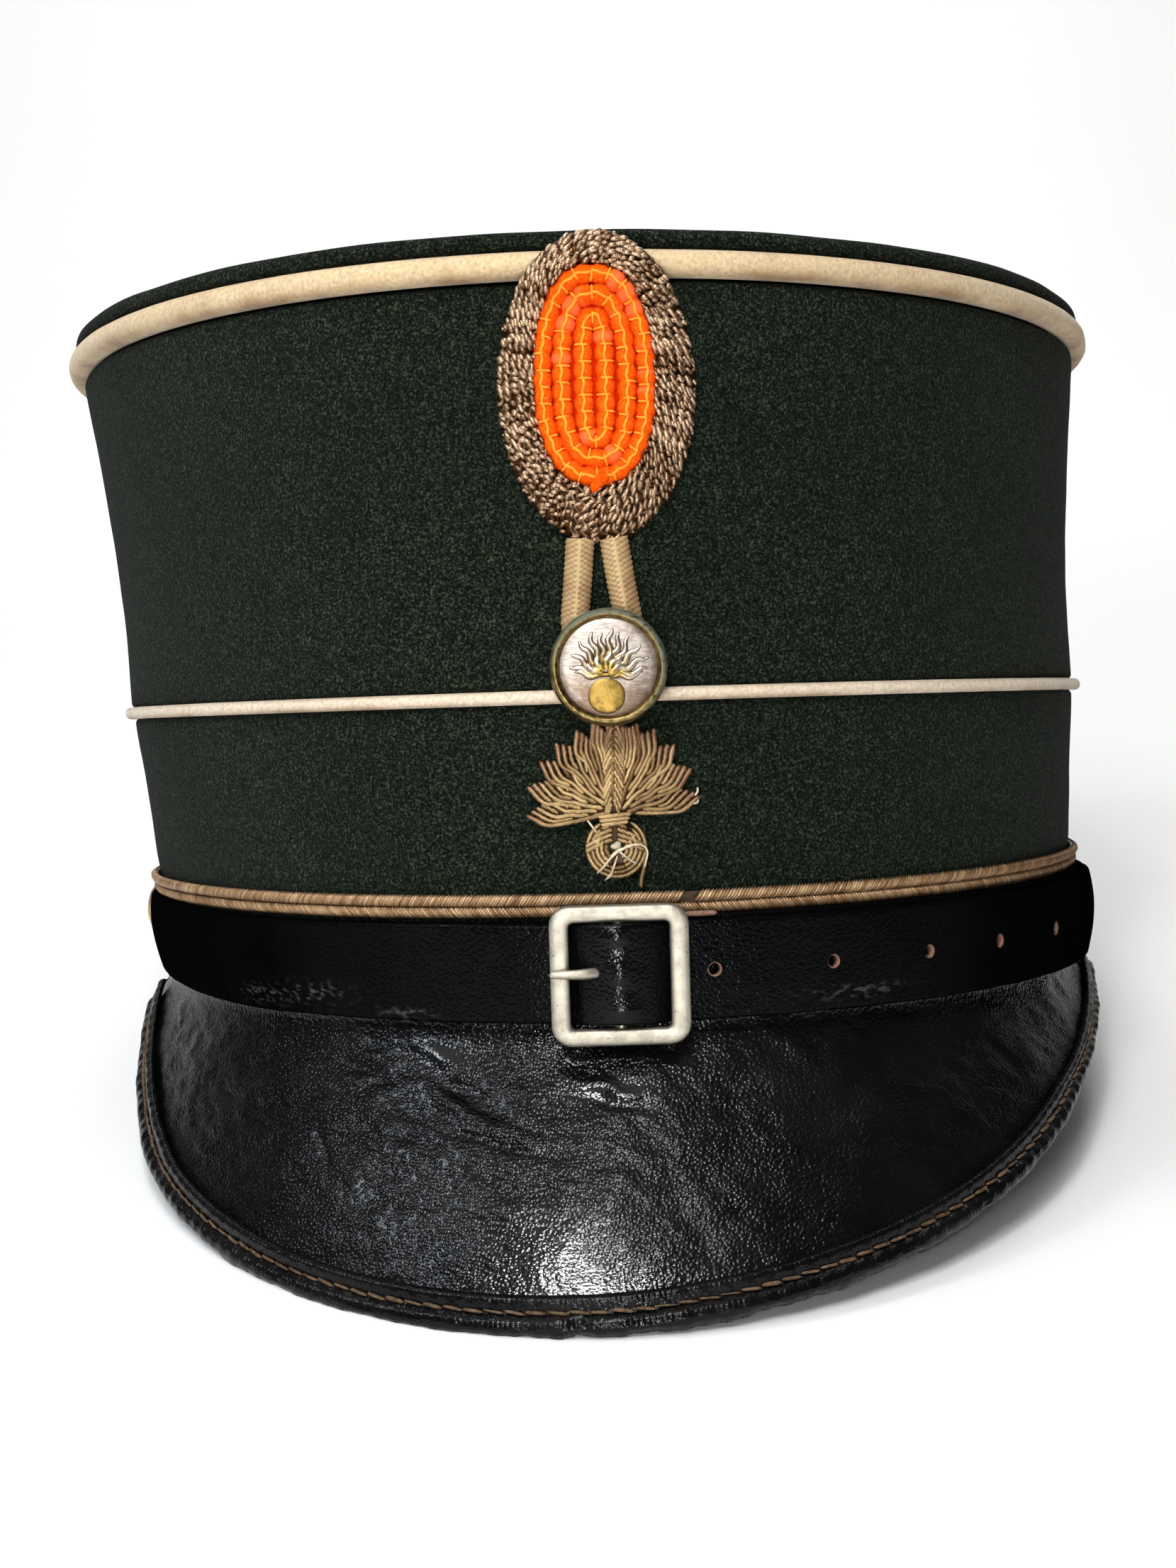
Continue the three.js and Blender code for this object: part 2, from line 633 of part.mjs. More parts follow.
function peakBinding() {
  const angles = PEAK_ANGLES.filter((angle) => Math.abs(angle) < rad(BINDING.cut));
  const sections = angles.map((angle) => (
    bindingSection(angle).map((place) => pressed(peakPoint(angle, place)))
  ));
  return stripBody(sections, bindingSection(angles[0]));
}

// Oval ring of the cockade, crowned in the middle of its width
function cockadeRing() {
  const inner = { halfX: COCKADE_CENTRE.halfX + GAP, halfZ: COCKADE_CENTRE.halfZ + GAP };
  const sections = turnAngles(COCKADE.steps).map((angle) => COCKADE_PROFILE.map(({ across, lift }) => {
    const halfX = THREE.MathUtils.lerp(inner.halfX, COCKADE.halfX, across);
    const halfZ = THREE.MathUtils.lerp(inner.halfZ, COCKADE.halfZ, across);
    const middleZ = THREE.MathUtils.lerp(COCKADE_CENTRE.z, COCKADE.z, across);
    return frontPoint(COCKADE.x + halfX * Math.sin(angle), middleZ + halfZ * Math.cos(angle), lift);
  }));
  return ringBody(sections);
}

// Oblong cord turns of the cockade's centre: crests and valleys from the middle outwards
function cockadeCentre() {
  const { x, z, halfX, halfZ, middle, stemGrow, steps } = COCKADE_CENTRE;
  const stem = halfZ - halfX;
  const rings = CORD_TURNS.map(({ share, lift }) => turnAngles(steps).map((angle) => {
    const across = share * halfX * Math.sin(angle);
    const along = (share * halfX + stem * Math.min(1, share + stemGrow)) * Math.cos(angle);
    return frontPoint(x + across, z + along, lift);
  }));
  return padBody(frontPoint(x, z, middle), rings, frontPoint(x, z, GAP));
}

// Flat cord that hangs from the cockade, goes round the button's shank and back up
function cockadeLoop() {
  const { sway, lowZ, turnRadius, turnSteps, width } = LOOP;
  const turn = stretchAngles(-Math.PI / 2, Math.PI / 2, turnSteps).map((angle) => ({
    x: turnRadius * Math.sin(angle),
    z: BUTTON.z - turnRadius * Math.cos(angle),
  }));
  const left = LOOP_SIDE.map(({ x, z }) => ({ x: -x, z }));
  const right = [...LOOP_SIDE].reverse();
  const path = [...left, ...turn, ...right].map(({ x, z }) => {
    const above = THREE.MathUtils.clamp((z - BUTTON.z) / (lowZ - BUTTON.z), 0, 1);
    return new THREE.Vector2(BUTTON.x + x + sway * above, z);
  });
  const sections = path.map((place, p) => {
    const [before, after] = [path[Math.max(p - 1, 0)], path[Math.min(p + 1, path.length - 1)]];
    const along = after.clone().sub(before).normalize();
    return LOOP_PROFILE.map(({ across, lift }) => (
      frontPoint(place.x - along.y * across * width, place.y + along.x * across * width, lift)
    ));
  });
  return stripBody(sections, LOOP_PROFILE.map(({ across, lift }) => new THREE.Vector2(across * width, lift)));
}

// Outline of a bursting grenade about its neck: a fan of flame tips above and a ball below
function grenadeOutline(size) {
  const tips = stretchAngles(-size.spread, size.spread, (size.tips - 1) * 2).map((degrees, step) => {
    const share = Math.abs(degrees) / size.spread;
    const tip = THREE.MathUtils.lerp(size.reach, size.sideReach, share * share);
    const reach = step % 2 ? tip * size.notch : tip;
    return new THREE.Vector2(reach * Math.sin(rad(degrees)), reach * Math.cos(rad(degrees)));
  });
  const start = size.spread + GRENADE_BALL.past;
  const ball = stretchAngles(start, 360 - start, GRENADE_BALL.steps).map((degrees) => {
    const [sin, cos] = [Math.sin(rad(degrees)), Math.cos(rad(degrees))];
    const inside = size.ball ** 2 - (size.ballZ * sin) ** 2;
    const reach = Math.max(size.ballZ * cos + Math.sqrt(Math.max(inside, 0)), size.neckHalf);
    return new THREE.Vector2(reach * sin, reach * cos);
  });
  return [...tips, ...ball];
}

function frontButton() {
  const { x, z, lift, field, sides, shank, shankSides, overlap } = BUTTON;
  const seat = frontPoint(x, z, 0).y;
  const profile = BUTTON_PROFILE.map(({ radius, up }) => new THREE.Vector2(radius, up));
  const disc = new THREE.LatheGeometry(profile, sides);
  disc.rotateX(Math.PI);
  disc.translate(x, seat - lift, z);
  const depth = BUTTON_RELIEF.sunk + BUTTON_RELIEF.height;
  const outline = new THREE.Shape(grenadeOutline(BUTTON_RELIEF));
  const relief = new THREE.ExtrudeGeometry(outline, { depth, bevelEnabled: false });
  relief.rotateX(Math.PI / 2);
  relief.translate(x, seat - lift - field + BUTTON_RELIEF.sunk, z + BUTTON_RELIEF.neckZ);
  const post = rod(vec(x, seat - GAP, z), vec(x, seat - lift - overlap, z), shank, shankSides);
  return bodyOf(solid(disc).add(solid(relief)).add(solid(post)));
}

function grenadeBadge() {
  const outline = grenadeOutline(BADGE);
  const rings = BADGE_RINGS.map(({ share, lift }) => outline.map((place) => (
    frontPoint(BADGE.x + place.x * share, BADGE.neckZ + place.y * share, lift)
  )));
  const middle = (lift) => frontPoint(BADGE.x, BADGE.neckZ, lift);
  return padBody(middle(BADGE.lift), rings, middle(GAP));
}

// Small domed button at each end of the chin strap
function sideButton(way) {
  const { radius, height, angle, z, lift, sides } = SIDE_BUTTON;
  const profile = SIDE_BUTTON_PROFILE.map(({ across, up }) => (
    new THREE.Vector2(across * radius, up * height)
  ));
  const geometry = new THREE.LatheGeometry(profile, sides);
  const turn = way * rad(angle);
  const thick = way < 0 ? STRAP.thick : SHORT_STRAP.thick;
  geometry.applyQuaternion(new THREE.Quaternion().setFromUnitVectors(vec(0, 1, 0), rimNormal(turn)));
  const seat = rimPoint(turn, STRAP.out + thick + lift, z);
  geometry.translate(seat.x, seat.y, seat.z);
  return geometry;
}

const PIECES = [
  { name: 'band', finish: 'cloth', body: clothWall(BAND_ROWS) },
  { name: 'crown_side', finish: 'cloth', body: clothWall(SIDE_ROWS) },
  { name: 'crown_top', finish: 'cloth', body: topPlate() },
  { name: 'band_piping', finish: 'piping', body: piping(BAND_PIPING) },
  { name: 'top_piping', finish: 'piping', body: piping(TOP_PIPING) },
  { name: 'base_braid', finish: 'braid', body: baseBraid() },
  { name: 'peak', finish: 'leather', body: peakBody() },
  { name: 'peak_binding', finish: 'binding', body: peakBinding() },
  { name: 'strap_long', finish: 'leather', body: longStrap() },
  { name: 'strap_short', finish: 'leather', body: shortStrap() },
  { name: 'buckle_frame', finish: 'nickel', body: buckleFrame() },
  { name: 'buckle_prong', finish: 'nickel', body: buckleProng() },
  { name: 'cockade_ring', finish: 'bullion', body: cockadeRing() },
  { name: 'cockade_centre', finish: 'orange', body: cockadeCentre() },
  { name: 'cockade_loop', finish: 'braid', body: cockadeLoop() },
  { name: 'front_button', finish: 'brass', body: frontButton() },
  { name: 'grenade_badge', finish: 'bullion', body: grenadeBadge() },
  { name: 'side_button_left', finish: 'brass', body: sideButton(-1) },
  { name: 'side_button_right', finish: 'brass', body: sideButton(1) },
];

// The hat is tipped back onto its rear rim, then set over the origin
const hat = new THREE.Group();
for (const { name, finish, body } of PIECES) {
  const piece = new THREE.Mesh(body, new THREE.MeshStandardMaterial(FINISH[finish]));
  piece.name = name;
  hat.add(piece);
}
hat.rotation.x = -REST_ANGLE;

const kepi = new THREE.Group();
kepi.add(hat);
kepi.updateMatrixWorld(true);
const box = new THREE.Box3().setFromObject(kepi, true);
const middle = box.getCenter(vec(0, 0, 0));
hat.position.set(-middle.x, -middle.y, -box.min.z);
kepi.updateMatrixWorld(true);

export default kepi;
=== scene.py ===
"""Dresses a packed kepi: wool, piping, braid, leather peak and strap, buckle, cockade, button and badge.

Shapes are worked out in the upright hat's own frame, in millimetres, with the front at -Y and the band's
rim at height 0, and are then set down where the resting part lies.
"""

import json
import math
from types import SimpleNamespace as Sizes

import bmesh
import bpy
import numpy as np
from bpy.props import FloatProperty, FloatVectorProperty, IntProperty, PointerProperty
from mathutils import Matrix, Vector, noise


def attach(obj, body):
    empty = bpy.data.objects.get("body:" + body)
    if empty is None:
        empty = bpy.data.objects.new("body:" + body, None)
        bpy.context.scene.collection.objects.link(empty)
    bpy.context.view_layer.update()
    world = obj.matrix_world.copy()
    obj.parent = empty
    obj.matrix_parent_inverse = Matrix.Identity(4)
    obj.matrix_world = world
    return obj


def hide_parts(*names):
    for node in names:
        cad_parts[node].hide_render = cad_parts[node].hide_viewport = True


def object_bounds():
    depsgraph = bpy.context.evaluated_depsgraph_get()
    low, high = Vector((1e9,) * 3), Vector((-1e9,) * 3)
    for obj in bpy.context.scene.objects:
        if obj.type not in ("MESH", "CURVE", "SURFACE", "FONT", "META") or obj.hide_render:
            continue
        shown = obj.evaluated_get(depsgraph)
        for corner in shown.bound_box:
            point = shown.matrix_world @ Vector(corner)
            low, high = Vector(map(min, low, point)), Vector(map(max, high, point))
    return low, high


bl_info = {
    "name": "Dressed Kepi",
    "version": (1, 0, 0),
    "blender": (4, 5, 0),
    "location": "View3D > Sidebar > Kepi",
    "description": "Makes the cloth, leather, embroidery and metal of a kepi around its packed solids",
    "category": "Object",
}

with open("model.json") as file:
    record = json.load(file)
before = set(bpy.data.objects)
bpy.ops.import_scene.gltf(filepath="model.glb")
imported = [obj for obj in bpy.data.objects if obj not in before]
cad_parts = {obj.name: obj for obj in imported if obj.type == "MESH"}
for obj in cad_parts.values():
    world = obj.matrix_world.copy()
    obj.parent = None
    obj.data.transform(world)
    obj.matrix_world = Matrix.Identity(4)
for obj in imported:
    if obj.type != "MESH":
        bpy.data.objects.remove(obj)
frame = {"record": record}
CAD_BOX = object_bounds()

# Driving sizes of the hat, in millimetres and degrees
MM = 0.001
GAP = 0.3
CLOTH = 2.5
DEPTH_EXTRA = 17.0
LEAN = Sizes(shift=1.8, per_height=-0.042, tilt_from=47.0, top=112.2, tilt=-0.006)
BAND_ROWS = ((0, 82.4), (15, 83.5), (19, 84.5), (33.5, 85.5), (46.25, 86.8))
SIDE_ROWS = ((48.05, 87.0), (62, 86.9), (76, 87.7), (91, 89.1), (105.6, 90.8))
FRONT_ROWS = (
    (0, 82.4), (15, 83.5), (19, 84.5), (33.5, 85.5), (43, 86.5), (44.8, 88.35), (48.8, 88.35), (51, 87.0),
    (62, 86.9), (76, 87.7), (91, 89.1), (101, 90.3), (104.6, 93.2), (116, 93.2),
)
BAND_PIPING = Sizes(low=46.15, high=48.15, inner=84.5, bead=88.3, corner=0.9)
TOP_PIPING = Sizes(low=105.9, high=109.7, inner=88.6, bead=93.2, corner=1.7)
TOP_PLATE = Sizes(low=110.0, high=112.7, half=91.8, sag=1.5, sag_half=45.0, flat_half=84.0, round=1.2)
BRAID = Sizes(low=15.2, high=18.6, core=0.7, rib=1.25, slant=0.85, half=84.0, z=17.0, mean_half=92.0)
STRAP = Sizes(width=14.6, thick=1.6, out=2.0, back_end=98.0, tail_end=84.0, corner=0.55)
SHORT_STRAP = Sizes(thick=1.4, start=6.0, raised=0.7)
STRAP_RISE = 2.0
STRAP_OVER_BUCKLE = (
    (-30, 2.0), (-18, 2.9), (-11, 3.7), (-6.4, 3.7), (-4.2, 5.4), (-1.8, 6.4),
    (0, 6.6), (1.8, 6.4), (4.2, 5.4), (6.4, 3.7), (12, 3.7),
)
HOLE = Sizes(radius=1.1, wall=0.2, angles=(8.1, 19.9, 31.0, 41.3, 53.0))
BUCKLE = Sizes(x=0.35, z=7.6, half_x=10.0, half_z=10.2, open_x=7.25, open_z=7.8, corner=3.0, inner_corner=0.8,
               out=5.4, thick=1.7, bar_out=4.4, bar_radius=0.7)
PRONG = Sizes(rise=0.6, wide=0.8, flat=0.75)
PRONG_PATH = ((-0.9, 5.4), (-3.5, 7.2), (-5.3, 8.0), (-8.0, 8.0), (-10.4, 7.85))
PEAK = Sizes(length=48.1, front_slope=60.0, side_slope=82.8, end_angle=91.4, cut=80.0, fall=1.85, sharp=1.46,
             thick=1.8, flange=1.4, flange_top=8.0, root=-0.5, root_under=-1.1, root_out=2.8, root_z=2.0)
PEAK_PULL = Sizes(root=0.14, edge_out=0.6, edge_down=0.46)
PEAK_SWAY = Sizes(skew=0.06, shift=-2.4, drop=20.0)
BINDING = Sizes(wide=4.2, thick=0.9, nose=1.4, cut=75.0, stitch_line=-1.7)
COCKADE = Sizes(x=-0.4, z=90.4, half_x=14.2, half_z=21.7)
CENTRE = Sizes(x=-0.7, z=91.5, half_x=8.5, half_z=15.6)
LOOP = Sizes(sway=-0.7, half_width=2.05, half_thick=0.85, low_z=58.0, turn_radius=3.9, pitch=0.75)
LOOP_SIDE = ((2.7, 69.5), (3.25, 63.25), (3.8, 58.0), (3.8, 54.5))
BUTTON = Sizes(x=0.0, z=51.1, lift=3.4)
BADGE = Sizes(x=0.0, neck_z=30.1, ball_x=0.45, ball_z=-4.9, ball=4.5)
SIDE_BUTTON = Sizes(angle=94.0, z=7.3, lift=0.7)

# Points of the meshes round the hat, along the piece or down it
STEPS = Sizes(wall=280, top=200, piping=560, braid=300, thread=5, peak=430, peak_down=112, strap=540,
              short_strap=220, hole=28, button=96)

# Camera in the hat's frame, and the photograph's frame that its focal length was measured in
CAMERA = Sizes(place=(-3.69, -415.96, 44.84), yaw=0.001, pitch=0.033, roll=-0.0314, focal_px=3067.0)
PHOTO_HEIGHT_PX = 2212
SENSOR_MM = 36.0


# Settings that a user would change

def number(name, description, default, **limits):
    """A number from zero up."""
    return FloatProperty(name=name, description=description, default=default, min=0.0, **limits)


def length(name, description, default):
    """A size in metres."""
    return number(name, description, default, unit="LENGTH", precision=5)


def power(name, description, default):
    """A light's power in watts."""
    return number(name, description, default, unit="POWER")


def colour(name, description, default):
    """A linear colour."""
    return FloatVectorProperty(
        name=name, description=description, default=default, size=3, min=0.0, max=1.0, subtype="COLOR"
    )


def share(name, description, default):
    """A share from nothing to all."""
    return number(name, description, default, max=1.0, subtype="FACTOR")


class KepiCloth(bpy.types.PropertyGroup):
    """Wool cloth and piping"""

    wool: colour("Wool", "Dark green of the wool cloth", (0.0058, 0.0091, 0.0054))
    wool_light: colour("Wool light", "Lighter fibres of the nap", (0.049, 0.058, 0.036))
    nap: length("Nap", "Size of the tufts in the wool's nap", 0.00038)
    wave: length("Wave", "How far the stiff cloth strays from its true oval", 0.00025)
    piping: colour("Piping", "Cream of the thick cord under the top", (0.58, 0.442, 0.262))
    seam: colour("Seam piping", "Cream of the thin cord in the seam", (0.64, 0.535, 0.41))
    # Brown of random soil spots, and of the darker brown laid along the piping's edges
    soil: colour("Soil", "Brown soil along the piping's lower edge", (0.26, 0.15, 0.07))


class KepiLeather(bpy.types.PropertyGroup):
    """Peak, binding and chin strap"""

    black: colour("Black", "Black of the polished leather", (0.0014, 0.0014, 0.0017))
    worn: colour("Worn", "Brown that shows where the polish has worn thin", (0.010, 0.0075, 0.006))
    # Grey of the scuffs, partly worn leather and partly a painted highlight on torn fibres
    scuff: colour("Scuff", "Grey of the strap's scuffs", (0.05, 0.047, 0.045))
    raw: colour("Raw edge", "Raw leather in the strap's holes and edges", (0.27, 0.145, 0.10))
    grain: length("Grain", "Size of the leather's pebbles", 0.00058)
    crease: length("Crease", "Height of the peak's folds", 0.00045)
    stitch: length("Stitch", "Length of one stitch of the binding", 0.0030)
    thread: colour("Thread", "Tan thread of the binding's stitches", (0.135, 0.083, 0.045))


class KepiTrim(bpy.types.PropertyGroup):
    """Metal thread, braid and orange cord"""

    bullion: colour("Bullion", "Bright side of the tarnished metal thread", (0.85, 0.595, 0.29))
    ring: colour("Ring", "Dull brown metal thread of the cockade's ring", (0.57, 0.40, 0.265))
    tarnish: colour("Tarnish", "Dark side of the tarnished metal thread", (0.095, 0.038, 0.009))
    braid: colour("Braid", "Dull gold of the flat braid", (0.48, 0.32, 0.175))
    loop: colour("Loop", "Gold of the plaited cord round the button", (0.43, 0.310, 0.146))
    braid_dark: colour("Braid dark", "Copper brown where the braid has tarnished", (0.19, 0.095, 0.038))
    orange: colour("Orange", "Orange of the couched cord", (0.90, 0.092, 0.003))
    couching: colour("Couching", "Yellow orange of the couching thread", (0.98, 0.31, 0.022))
    faded: colour("Faded", "Pink where the orange cord has worn", (0.97, 0.165, 0.06))
    pale: colour("Pale thread", "Loose pale threads of the badge", (0.60, 0.53, 0.37))
    badge_strand: length("Badge strand", "Thickness of one strand of the badge", 0.00068)
    ring_strand: length("Ring strand", "Thickness of one strand of the cockade's ring", 0.00066)
    ring_strands: IntProperty(
        name="Ring strands", description="Strands round the cockade", default=165, min=20
    )
    braid_thread: length("Braid thread", "Distance between the braid's threads", 0.00049)


class KepiMetal(bpy.types.PropertyGroup):
    """Buckle and buttons"""

    nickel: colour("Nickel", "Warm worn nickel of the buckle", (0.45, 0.41, 0.335))
    silver: colour("Silver", "Silvered face of the front button", (0.475, 0.41, 0.355))
    brass: colour("Brass", "Brass of the button's rim and the side buttons", (0.46, 0.32, 0.12))
    gilt: colour("Gilt", "Gilt relief of the front button", (0.31, 0.20, 0.05))
    patina: colour("Patina", "Green patina on the button's rim", (0.085, 0.105, 0.075))
    dirt: colour("Dirt", "Dark dirt in the metal's corners", (0.045, 0.032, 0.020))


class KepiStage(bpy.types.PropertyGroup):
    """Floor and light"""

    floor: colour("Floor", "Pale floor and backdrop", (0.86, 0.86, 0.855))
    key_power: power("Key", "Soft light beside the camera", 0.08)
    strip_power: power("Strip", "Strip of light over the camera", 1.4)
    top_power: power("Top", "Large soft light overhead", 5.0)
    side_power: power("Side", "Cool light from the left", 2.7)
    window_power: power("Window", "Cool light from far left", 0.36)
    catch_power: power("Catch", "Small light for glints", 0.3)
    ridge_power: power("Ridge", "Small light over the peak", 0.56)
    low_power: power("Low", "Small light near the floor", 0.26)
    back_power: power("Back", "Light on the backdrop", 60.0)
    ambient: share("Ambient", "Brightness of the room around", 0.10)


class KepiSettings(bpy.types.PropertyGroup):
    """All settings of the dressed kepi"""

    cloth: PointerProperty(type=KepiCloth)
    leather: PointerProperty(type=KepiLeather)
    trim: PointerProperty(type=KepiTrim)
    metal: PointerProperty(type=KepiMetal)
    stage: PointerProperty(type=KepiStage)


# Places on the hat

def spread(x, y, z):
    """Points from their three coordinates, which may be arrays that spread over each other."""
    return np.stack(np.broadcast_arrays(x, y, z), axis=-1).astype(float)


def unit(vectors):
    """The same directions with length 1."""
    return vectors / np.maximum(np.linalg.norm(vectors, axis=-1, keepdims=True), 1e-12)


def table(rows, value):
    """The second column of a table at values of its first, between the rows."""
    first, second = zip(*rows)
    return np.interp(value, first, second)


def eased(rows, value, width):
    """A table's second column with its corners rounded over a width."""
    offsets = np.linspace(-width, width, 9)
    return np.mean([table(rows, np.asarray(value) + offset) for offset in offsets], axis=0)


def oval_middle(z):
    """Sideways place of the crown's middle at a height."""
    return LEAN.shift + LEAN.per_height * np.asarray(z, float)


def oval_point(angle, half, z):
    """A point of the crown's oval; angle 0 is the front and the half depth is a fixed amount more."""
    across = half * np.sin(angle)
    tip = LEAN.tilt * np.maximum(0, (z - LEAN.tilt_from) / (LEAN.top - LEAN.tilt_from))
    return spread(oval_middle(z) + across, -(half + DEPTH_EXTRA) * np.cos(angle), z + tip * across)


def rim_half(z):
    """Half width of the band where the strap and the peak lie against it."""
    return table(BAND_ROWS, np.clip(z, 0, STRAP.width))


def rim_normal(angle):
    """Outward direction of the base oval."""
    half = rim_half(0)
    return unit(spread(np.sin(angle) / half, -np.cos(angle) / (half + DEPTH_EXTRA), 0))


def rim_point(angle, out, z):
    """A point at a distance outside the base oval."""
    point = oval_point(angle, rim_half(z), np.maximum(z, 0)) + rim_normal(angle) * np.asarray(out)[..., None]
    point[..., 2] = z
    return point


def rim_angle(x):
    """Angle of the base oval at a sideways place near the front."""
    return np.arcsin((x - oval_middle(0)) / rim_half(0))


def front_point(x, z, lift):
    """A point in front of what the ornaments lie on."""
    half = eased(FRONT_ROWS, z, 1.0)
    side = (x - oval_middle(z)) / half
    return spread(x, -(half + DEPTH_EXTRA) * np.sqrt(1 - side * side) - lift, z)


OPENING = next(mount for mount in frame["record"]["mounts"] if mount["name"] == "head_opening")
HAT_TURN = np.array(Matrix.Rotation(-math.atan2(-OPENING["axis"][1], -OPENING["axis"][2]), 3, "X"))
HAT_PLACE = np.array(OPENING["pos_m"]) - HAT_TURN @ np.array([oval_middle(0) * MM, 0, 0])
FLOOR_CLEAR = 0.00003


def to_world(hat):
    """From the upright hat's millimetres to the resting part's metres, never under the floor."""
    world = np.asarray(hat, float) @ HAT_TURN.T * MM + HAT_PLACE
    world[..., 2] = np.maximum(world[..., 2], FLOOR_CLEAR)
    return world


# Meshes

def rounded_loop(wide, tall, corner, wide_steps, tall_steps, corner_steps=5):
    """A closed rounded rectangle about the origin, as points of across and up."""
    signs = ((1, 1), (-1, 1), (-1, -1), (1, -1))
    centre = np.array([wide / 2 - corner, tall / 2 - corner])

    def on_corner(quarter, turn):
        way = np.array([np.cos(turn), np.sin(turn)]).T
        return centre * signs[quarter % 4] + corner * way

    loop = []
    for quarter in range(4):
        start = math.pi / 2 * quarter
        loop.append(on_corner(quarter, start + np.linspace(0, math.pi / 2, corner_steps)))
        steps = tall_steps if quarter % 2 else wide_steps
        edge = np.linspace(loop[-1][-1], on_corner(quarter + 1, start + math.pi / 2), steps + 1)
        loop.append(edge[1:-1])
    return np.concatenate(loop)


def turn_angles(steps):
    """Angles that share out a full turn."""
    return np.linspace(0, math.tau, steps, endpoint=False)


def run_along(path):
    """Distance along a path, or along each of several, from its start to its points."""
    steps = np.linalg.norm(np.diff(path, axis=-2), axis=-1)
    return np.concatenate([np.zeros_like(steps[..., :1]), np.cumsum(steps, axis=-1)], axis=-1)


class Skin:
    """Closed skins made of rows of rings, with named values at their points."""

    def __init__(self, grids, wrap_rows=False, **values):
        grids = np.asarray(grids, float)
        if grids.ndim == 3:
            grids = grids[None]
        count, rows, ring = grids.shape[:3]
        index = np.arange(count * rows * ring).reshape(count, rows, ring)
        beside = np.roll(index, -1, axis=2)
        if wrap_rows:
            quads = (index, beside, np.roll(beside, -1, axis=1), np.roll(index, -1, axis=1))
        else:
            quads = (index[:, :-1], beside[:, :-1], beside[:, 1:], index[:, 1:])
        self.points = grids.reshape(-1, 3)
        self.faces = np.stack(quads, axis=-1).reshape(-1, 4).tolist()
        full = {name: np.broadcast_to(value, (count, rows)) for name, value in values.items()}
        self.values = {name: np.repeat(value.ravel(), ring) for name, value in full.items()}
        if not wrap_rows:
            self.close(grids, index, beside, full)

    def close(self, grids, index, beside, full):
        """Closes both ends of each skin over a middle point."""
        for row in (0, -1):
            pole = len(self.points) + np.arange(len(grids))
            ends = np.broadcast_to(pole[:, None], index[:, row].shape)
            self.faces += np.stack([index[:, row], beside[:, row], ends], axis=-1).reshape(-1, 3).tolist()
            self.points = np.concatenate([self.points, grids[:, row].mean(axis=1)])
            for name, value in full.items():
                self.values[name] = np.concatenate([self.values[name], value[:, row]])

    def mark(self, name, amounts):
        """Gives the points of the rings a named value, and the middle points of the ends none."""
        spare = len(self.points) - np.size(amounts)
        self.values[name] = np.concatenate([np.ravel(amounts), np.zeros(spare)])

    def joined(self, *others):
        """This skin and others as one."""
        for other in others:
            start = len(self.points)
            self.faces += [[start + corner for corner in face] for face in other.faces]
            for name in set(self.values) | set(other.values):
                mine = self.values.get(name, np.zeros(start))
                theirs = other.values.get(name, np.zeros(len(other.points)))
                self.values[name] = np.concatenate([mine, theirs])
            self.points = np.concatenate([self.points, other.points])
        return self


def add_mesh(name, skin):
    """An object of the skin's mesh, with its faces turned outwards and shaded smooth."""
    mesh = bpy.data.meshes.new(name)
    mesh.from_pydata(to_world(skin.points).tolist(), [], skin.faces)
    for key, value in skin.values.items():
        mesh.attributes.new(key, "FLOAT", "POINT").data.foreach_set("value", value.astype(np.float32))
    work = bmesh.new()
    work.from_mesh(mesh)
    bmesh.ops.recalc_face_normals(work, faces=work.faces)
    work.to_mesh(mesh)
    work.free()
    mesh.shade_smooth()
    piece = bpy.data.objects.new(name, mesh)
    bpy.context.scene.collection.objects.link(piece)
    return piece


def dress(piece, material, slot, *nodes):
    """Gives a piece its finish and sets it on the part, in place of the solids that it stands for."""
    piece.data.materials.clear()
    piece.data.materials.append(material)
    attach(piece, "root")
    if nodes:
        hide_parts(*nodes)


def add_piece(name, skin, material, slot, *nodes):
    """A dressed piece from a skin."""
    dress(add_mesh(name, skin), material, slot, *nodes)


def strands(paths, radius, facing, sides=6, flat=1.0, ply=None):
    """Rings of strands along paths, flat towards a facing direction and twisted of two plies by a phase."""
    paths = np.asarray(paths, float)
    along = unit(np.gradient(paths, axis=-2))
    across = unit(np.cross(along, facing))
    up = np.cross(across, along) * flat
    turn = turn_angles(sides)[:, None]
    ring = across[..., None, :] * np.cos(turn) + up[..., None, :] * np.sin(turn)
    thick = np.broadcast_to(radius, paths.shape[:-1])[..., None, None]
    if ply is not None:
        thick = thick * (1 + 0.15 * np.cos(2 * turn + np.asarray(ply)[..., None, None]))
    return paths[..., None, :] + thick * ring


def round_ends(count, power=8):
    """Shares of the full radius along a strand with rounded ends."""
    place = np.abs(np.linspace(-1, 1, count))
    return np.sqrt(np.clip(1 - place ** power, 0.04, 1))


def even_path(path, count, closed=False):
    """A path's points shared out evenly along its length, and the length."""
    path = np.asarray(path, float)
    if closed:
        path = np.concatenate([path, path[:1]])
    run = run_along(path)
    places = np.linspace(0, run[-1], count, endpoint=not closed)
    even = np.stack([np.interp(places, run, column) for column in path.T], axis=-1)
    return even, run[-1]


def bend(corners, count):
    """A smooth curve through a few corner points, evenly spaced."""
    rough, _ = even_path(corners, count * 4)
    window = max(3, count * 4 // (len(corners) * 2))
    padded = np.concatenate([np.repeat(rough[:1], window, 0), rough, np.repeat(rough[-1:], window, 0)])
    kernel = np.ones(2 * window + 1) / (2 * window + 1)
    soft = np.stack([np.convolve(column, kernel, "valid") for column in padded.T], axis=-1)
    return even_path(soft, count)[0]


def ripple(places, size, seed=0):
    """Smooth noise from -1 to 1 at places in millimetres, with bumps of about a size."""
    shift = Vector((seed * 17.3, seed * 5.1, seed * 9.7))
    flat = np.asarray(places, float).reshape(-1, 3) / size
    return np.array([noise.noise(Vector(place) + shift) for place in flat]).reshape(np.shape(places)[:-1])


